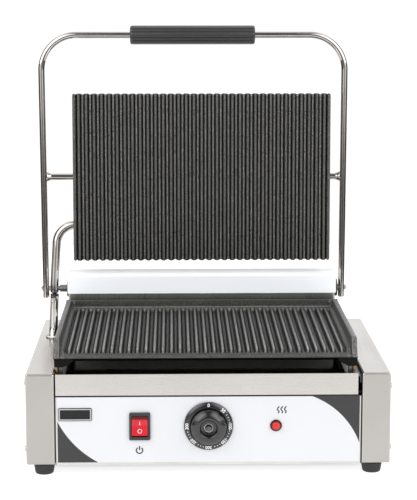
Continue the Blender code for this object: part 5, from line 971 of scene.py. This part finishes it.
rows = [(-HALF_HIGH + inward, back, 1) for inward, back in ENDS]
rows += [(share * HALF_HIGH, 0, 0) for share in (-0.5, 0, 0.5)]
rows += [(HALF_HIGH - inward, back, -1) for inward, back in reversed(ENDS)]
lines = []
for z, back, way in rows:
    line = []
    for across, share in both_flanks(UPPER_FLANK):
        y = max(VALLEY + (FACE - VALLEY) * share + back, FACE + back)
        # Painted highlight: a bright line along each valley's bottom and a fainter one along the crest edges.
        worn_and_highlit = 1.6 if share < 0.03 else 0.02 if share < 0.90 else 0.20 if share < 0.99 else 0.55
        line.append((across * RIB_PITCH, min(y, BACK - 0.002), z + way * SCALLOP * (1 - share) ** 1.4, worn_and_highlit))
    lines.append(line)
rib_mesh = ribbed_field(to_back(lines))
bm = bmesh.new()
for side in (-1, 1):
    lines = []
    for z, back, way in rows:
        line = []
        for x, fall, deep, corner, worn_and_highlit in BORDER:
            y = min(FACE + fall + back + (VALLEY - FACE) * deep, BACK - 0.002)
            line.append((MIDDLE_X + side * x, y, z + way * (corner + SCALLOP * deep), worn_and_highlit))
        lines.append(line)
    grid(bm, [[(line[0][0], BACK, line[0][2], 0.2)] + line for line in to_back(lines)])
bm.from_mesh(rib_mesh)
bmesh.ops.remove_doubles(bm, verts=bm.verts, dist=SAME_PLACE)
bmesh.ops.holes_fill(bm, edges=[edge for edge in bm.edges if edge.is_boundary], sides=0)
bm.transform(in_frame @ Matrix.Translation((0, 0, PIVOT)))
made("upper_casting", bm, cast_enamel, "lid", "casting", "upper_plate", smooth=50)

# Lid housing: a drawn steel shell over the casting's back.
lid_steel = brushed("lid_steel", (0.40, 0.39, 0.375), (0.47, 0.46, 0.445), (20, 900, 1600), (0.50, 0.62))
dress(lid_steel, "upper_housing")

# Screws: chromed pan heads with a cross recess, on the sides of the housings, on the rear panel and under the feet.
HEAD_PROFILE = ((0.0034, 0.0), (0.0034, 0.0009), (0.0032, 0.0013), (0.0026, 0.0017), (0.0017, 0.0019), (0, 0.0019))
CROSS_LONG, CROSS_WIDE, CROSS_FLOOR = 0.0020, 0.00035, 0.0008
SCREW_INSET, LOW_SCREW_Z, REAR_SCREW_X, FOOT_SCREW_Z = 0.0080, 0.0300, 0.1600, 0.0053
screw_chrome = speckled("screw_chrome", (0.46, 0.45, 0.43), (0.62, 0.61, 0.59), 700.0, 0.22, Metallic=1.0)
dress(screw_chrome, "rod_screw_left", "rod_screw_right")
bm = bmesh.new()
turned(bm, HEAD_PROFILE, Matrix.Identity(4), 24)
head = placed("screw_head", mesh_of(bm, "screw_head"))
bm = bmesh.new()
for long, wide in ((CROSS_LONG, CROSS_WIDE), (CROSS_WIDE, CROSS_LONG)):
    outline = [(-long, -wide), (long, -wide), (long, wide), (-long, wide)]
    prism(bm, outline, lambda u, v, w: (u, v, CROSS_FLOOR + w), 0.004)
cross = placed("screw_cross", mesh_of(bm, "screw_cross"))
cut = head.modifiers.new("cross", "BOOLEAN")
cut.object = cross
cut.operation = "DIFFERENCE"
cut.solver = "EXACT"
cut.use_self = True
screws, screw_names, given = start_tree("screws", {"Points": "Geometry", "Shape": "Object", "Finish": "Material"})
shape = add(screws, "GeometryNodeObjectInfo", {"Object": given["Shape"]})
way = add(screws, "GeometryNodeInputNamedAttribute", {"Name": "facing"}, data_type="FLOAT_VECTOR")
size = add(screws, "GeometryNodeInputNamedAttribute", {"Name": "size"}, data_type="FLOAT")
turn = add(screws, "FunctionNodeAlignRotationToVector", {"Vector": way.outputs[0]}, axis="Z")
stood = {"Points": given["Points"], "Instance": shape.outputs["Geometry"], "Rotation": turn.outputs[0]}
copies = add(screws, "GeometryNodeInstanceOnPoints", stood)
screws.links.new(size.outputs[0], copies.inputs["Scale"])
end_tree(screws, add(screws, "GeometryNodeRealizeInstances", {0: copies.outputs[0]}).outputs[0], given["Finish"])

# Each screw's place, the way it faces and its size.
rear_y, side_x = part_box("rear_panel")[1].y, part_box("right_side_housing")[1].x
places = []
for side, name in ((-1, "left"), (1, "right")):
    spots = [centre_of("side_screw_" + name).yz, (FRONT_Y + SCREW_INSET, LOW_SCREW_Z)]
    spots += [(rear_y - SCREW_INSET, 0.1050), (rear_y - SCREW_INSET, LOW_SCREW_Z)]
    places += [((side * side_x, y, z), (side, 0, 0), 1.0) for y, z in spots]
    places += [((side * REAR_SCREW_X, rear_y, z), (0, 1, 0), 0.9) for z in (LOW_SCREW_Z, 0.1000)]
for name in FOOT_NAMES:
    spot = centre_of(name)
    places.append(((spot.x, spot.y, FOOT_SCREW_Z), (0, 0, -1), 0.95))
points = bpy.data.meshes.new("points")
points.from_pydata([point for point, way, size in places], [], [])
ways = points.attributes.new("facing", "FLOAT_VECTOR", "POINT")
ways.data.foreach_set("vector", [number for point, way, size in places for number in way])
sizes = points.attributes.new("size", "FLOAT", "POINT")
sizes.data.foreach_set("value", [size for point, way, size in places])
heads = grown(points, screws, screw_names, {"Shape": head, "Finish": screw_chrome})
fitted(heads, "base_screws", "base", "screw_steel", "side_screw_left", "side_screw_right", smooth=40)
for helper in (head, cross):
    bpy.data.objects.remove(helper, do_unlink=True)

# Pale floor, a seamless sheet whose faint glow is weaker near the grill. Round it are soft studio light and the
# camera, at the photograph's angle.
LENS_PIXELS, PHOTO_WIDTH, SENSOR = 1665.35, 417, 36
AIM = Vector((0, 0, 0.2))
floor_white, shader, place = finish("floor_white", Roughness=0.6)
pale = shades(grain(place, 3.0), (0.34, 0.34, 0.34), (0.36, 0.36, 0.36))
feed(shader, pale)
where = axes(place)
# Painted shadow: the floor's glow is weaker near the grill.
glow = 0.0
for axis, clear, shaded in (("X", 0.19, 0.12), ("Y", 0.12, 0.07)):
    lit = spread(calc("ABSOLUTE", where[axis]), 0.04, 0.85, shaded, clear)
    glow = calc("MAXIMUM", glow, lit)
feed(shader, glow, "Emission Strength")
bm = bmesh.new()
bm.faces.new([bm.verts.new((x, y, 0)) for x, y in ((-1.1, -1.1), (1.1, -1.1), (1.1, 1.5), (-1.1, 1.5))])
floor = placed("floor", mesh_of(bm, "floor", False))
floor.data.materials.append(floor_white)

world = bpy.data.worlds.new("studio")
bpy.context.scene.world = world
world.use_nodes = True
sky = world.node_tree
sky.nodes.clear()
way = axes(add(sky, "ShaderNodeTexCoord").outputs["Generated"])
aside = calc("ABSOLUTE", way["X"])


def ramp(value, start, end, low, high):
    return spread(value, low, high, start, end, interpolation_type="SMOOTHSTEP")


def between(factor, first, second):
    return add(sky, "ShaderNodeMix", {0: factor, 2: first, 3: second}).outputs[0]


strips = calc("MULTIPLY", ramp(aside, 0.22, 0.40, 0.35, 1.0), ramp(way["Z"], 0.05, 0.25, 1.0, 0.35))
ahead = between(ramp(aside, 0.84, 0.94, 0.0, 1.0), strips, 0.15)
ahead = calc("MULTIPLY", ahead, ramp(way["Z"], -0.06, 0.02, 0.22, 1.0))
behind = between(ramp(aside, 0.42, 0.66, 0.0, 1.0), ramp(way["Z"], 0.35, 0.75, 1.3, 1.1), 0.09)
strength = between(ramp(way["Y"], -0.25, 0.25, 0.0, 1.0), ahead, behind)
shown = between(add(sky, "ShaderNodeLightPath").outputs["Is Camera Ray"], strength, 1.05)
back = add(sky, "ShaderNodeBackground", {"Color": (1, 1, 1, 1), "Strength": shown})
sky.links.new(back.outputs[0], sky.nodes.new("ShaderNodeOutputWorld").inputs[0])
for name, place, size, power in (
    ("left", (-1.8, -1.0, 1.9), (3.0, 2.6), 43),
    ("right", (1.8, -1.0, 1.9), (3.0, 2.6), 39),
    ("front_left", (-1.3, -2.1, 1.5), (2.0, 1.8), 13),
    ("front_right", (1.4, -2.1, 1.5), (2.0, 1.8), 13),
):
    light = bpy.data.lights.new(name, "AREA")
    light.shape = "RECTANGLE"
    light.size, light.size_y = size
    light.energy = power
    lamp = placed(name, light)
    lamp.location = place
    lamp.rotation_euler = (AIM - Vector(place)).to_track_quat("-Z", "Y").to_euler()

camera = bpy.data.cameras.new("camera")
camera.sensor_fit = "HORIZONTAL"
camera.sensor_width = SENSOR
camera.lens = SENSOR * LENS_PIXELS / PHOTO_WIDTH
view = placed("camera", camera)
view.location = (-0.0400, -1.9645, 0.5521)
view.rotation_euler = (pi / 2 - 0.161, 0, -0.022)
bpy.context.scene.camera = view
bpy.context.scene.view_settings.view_transform = "Standard"
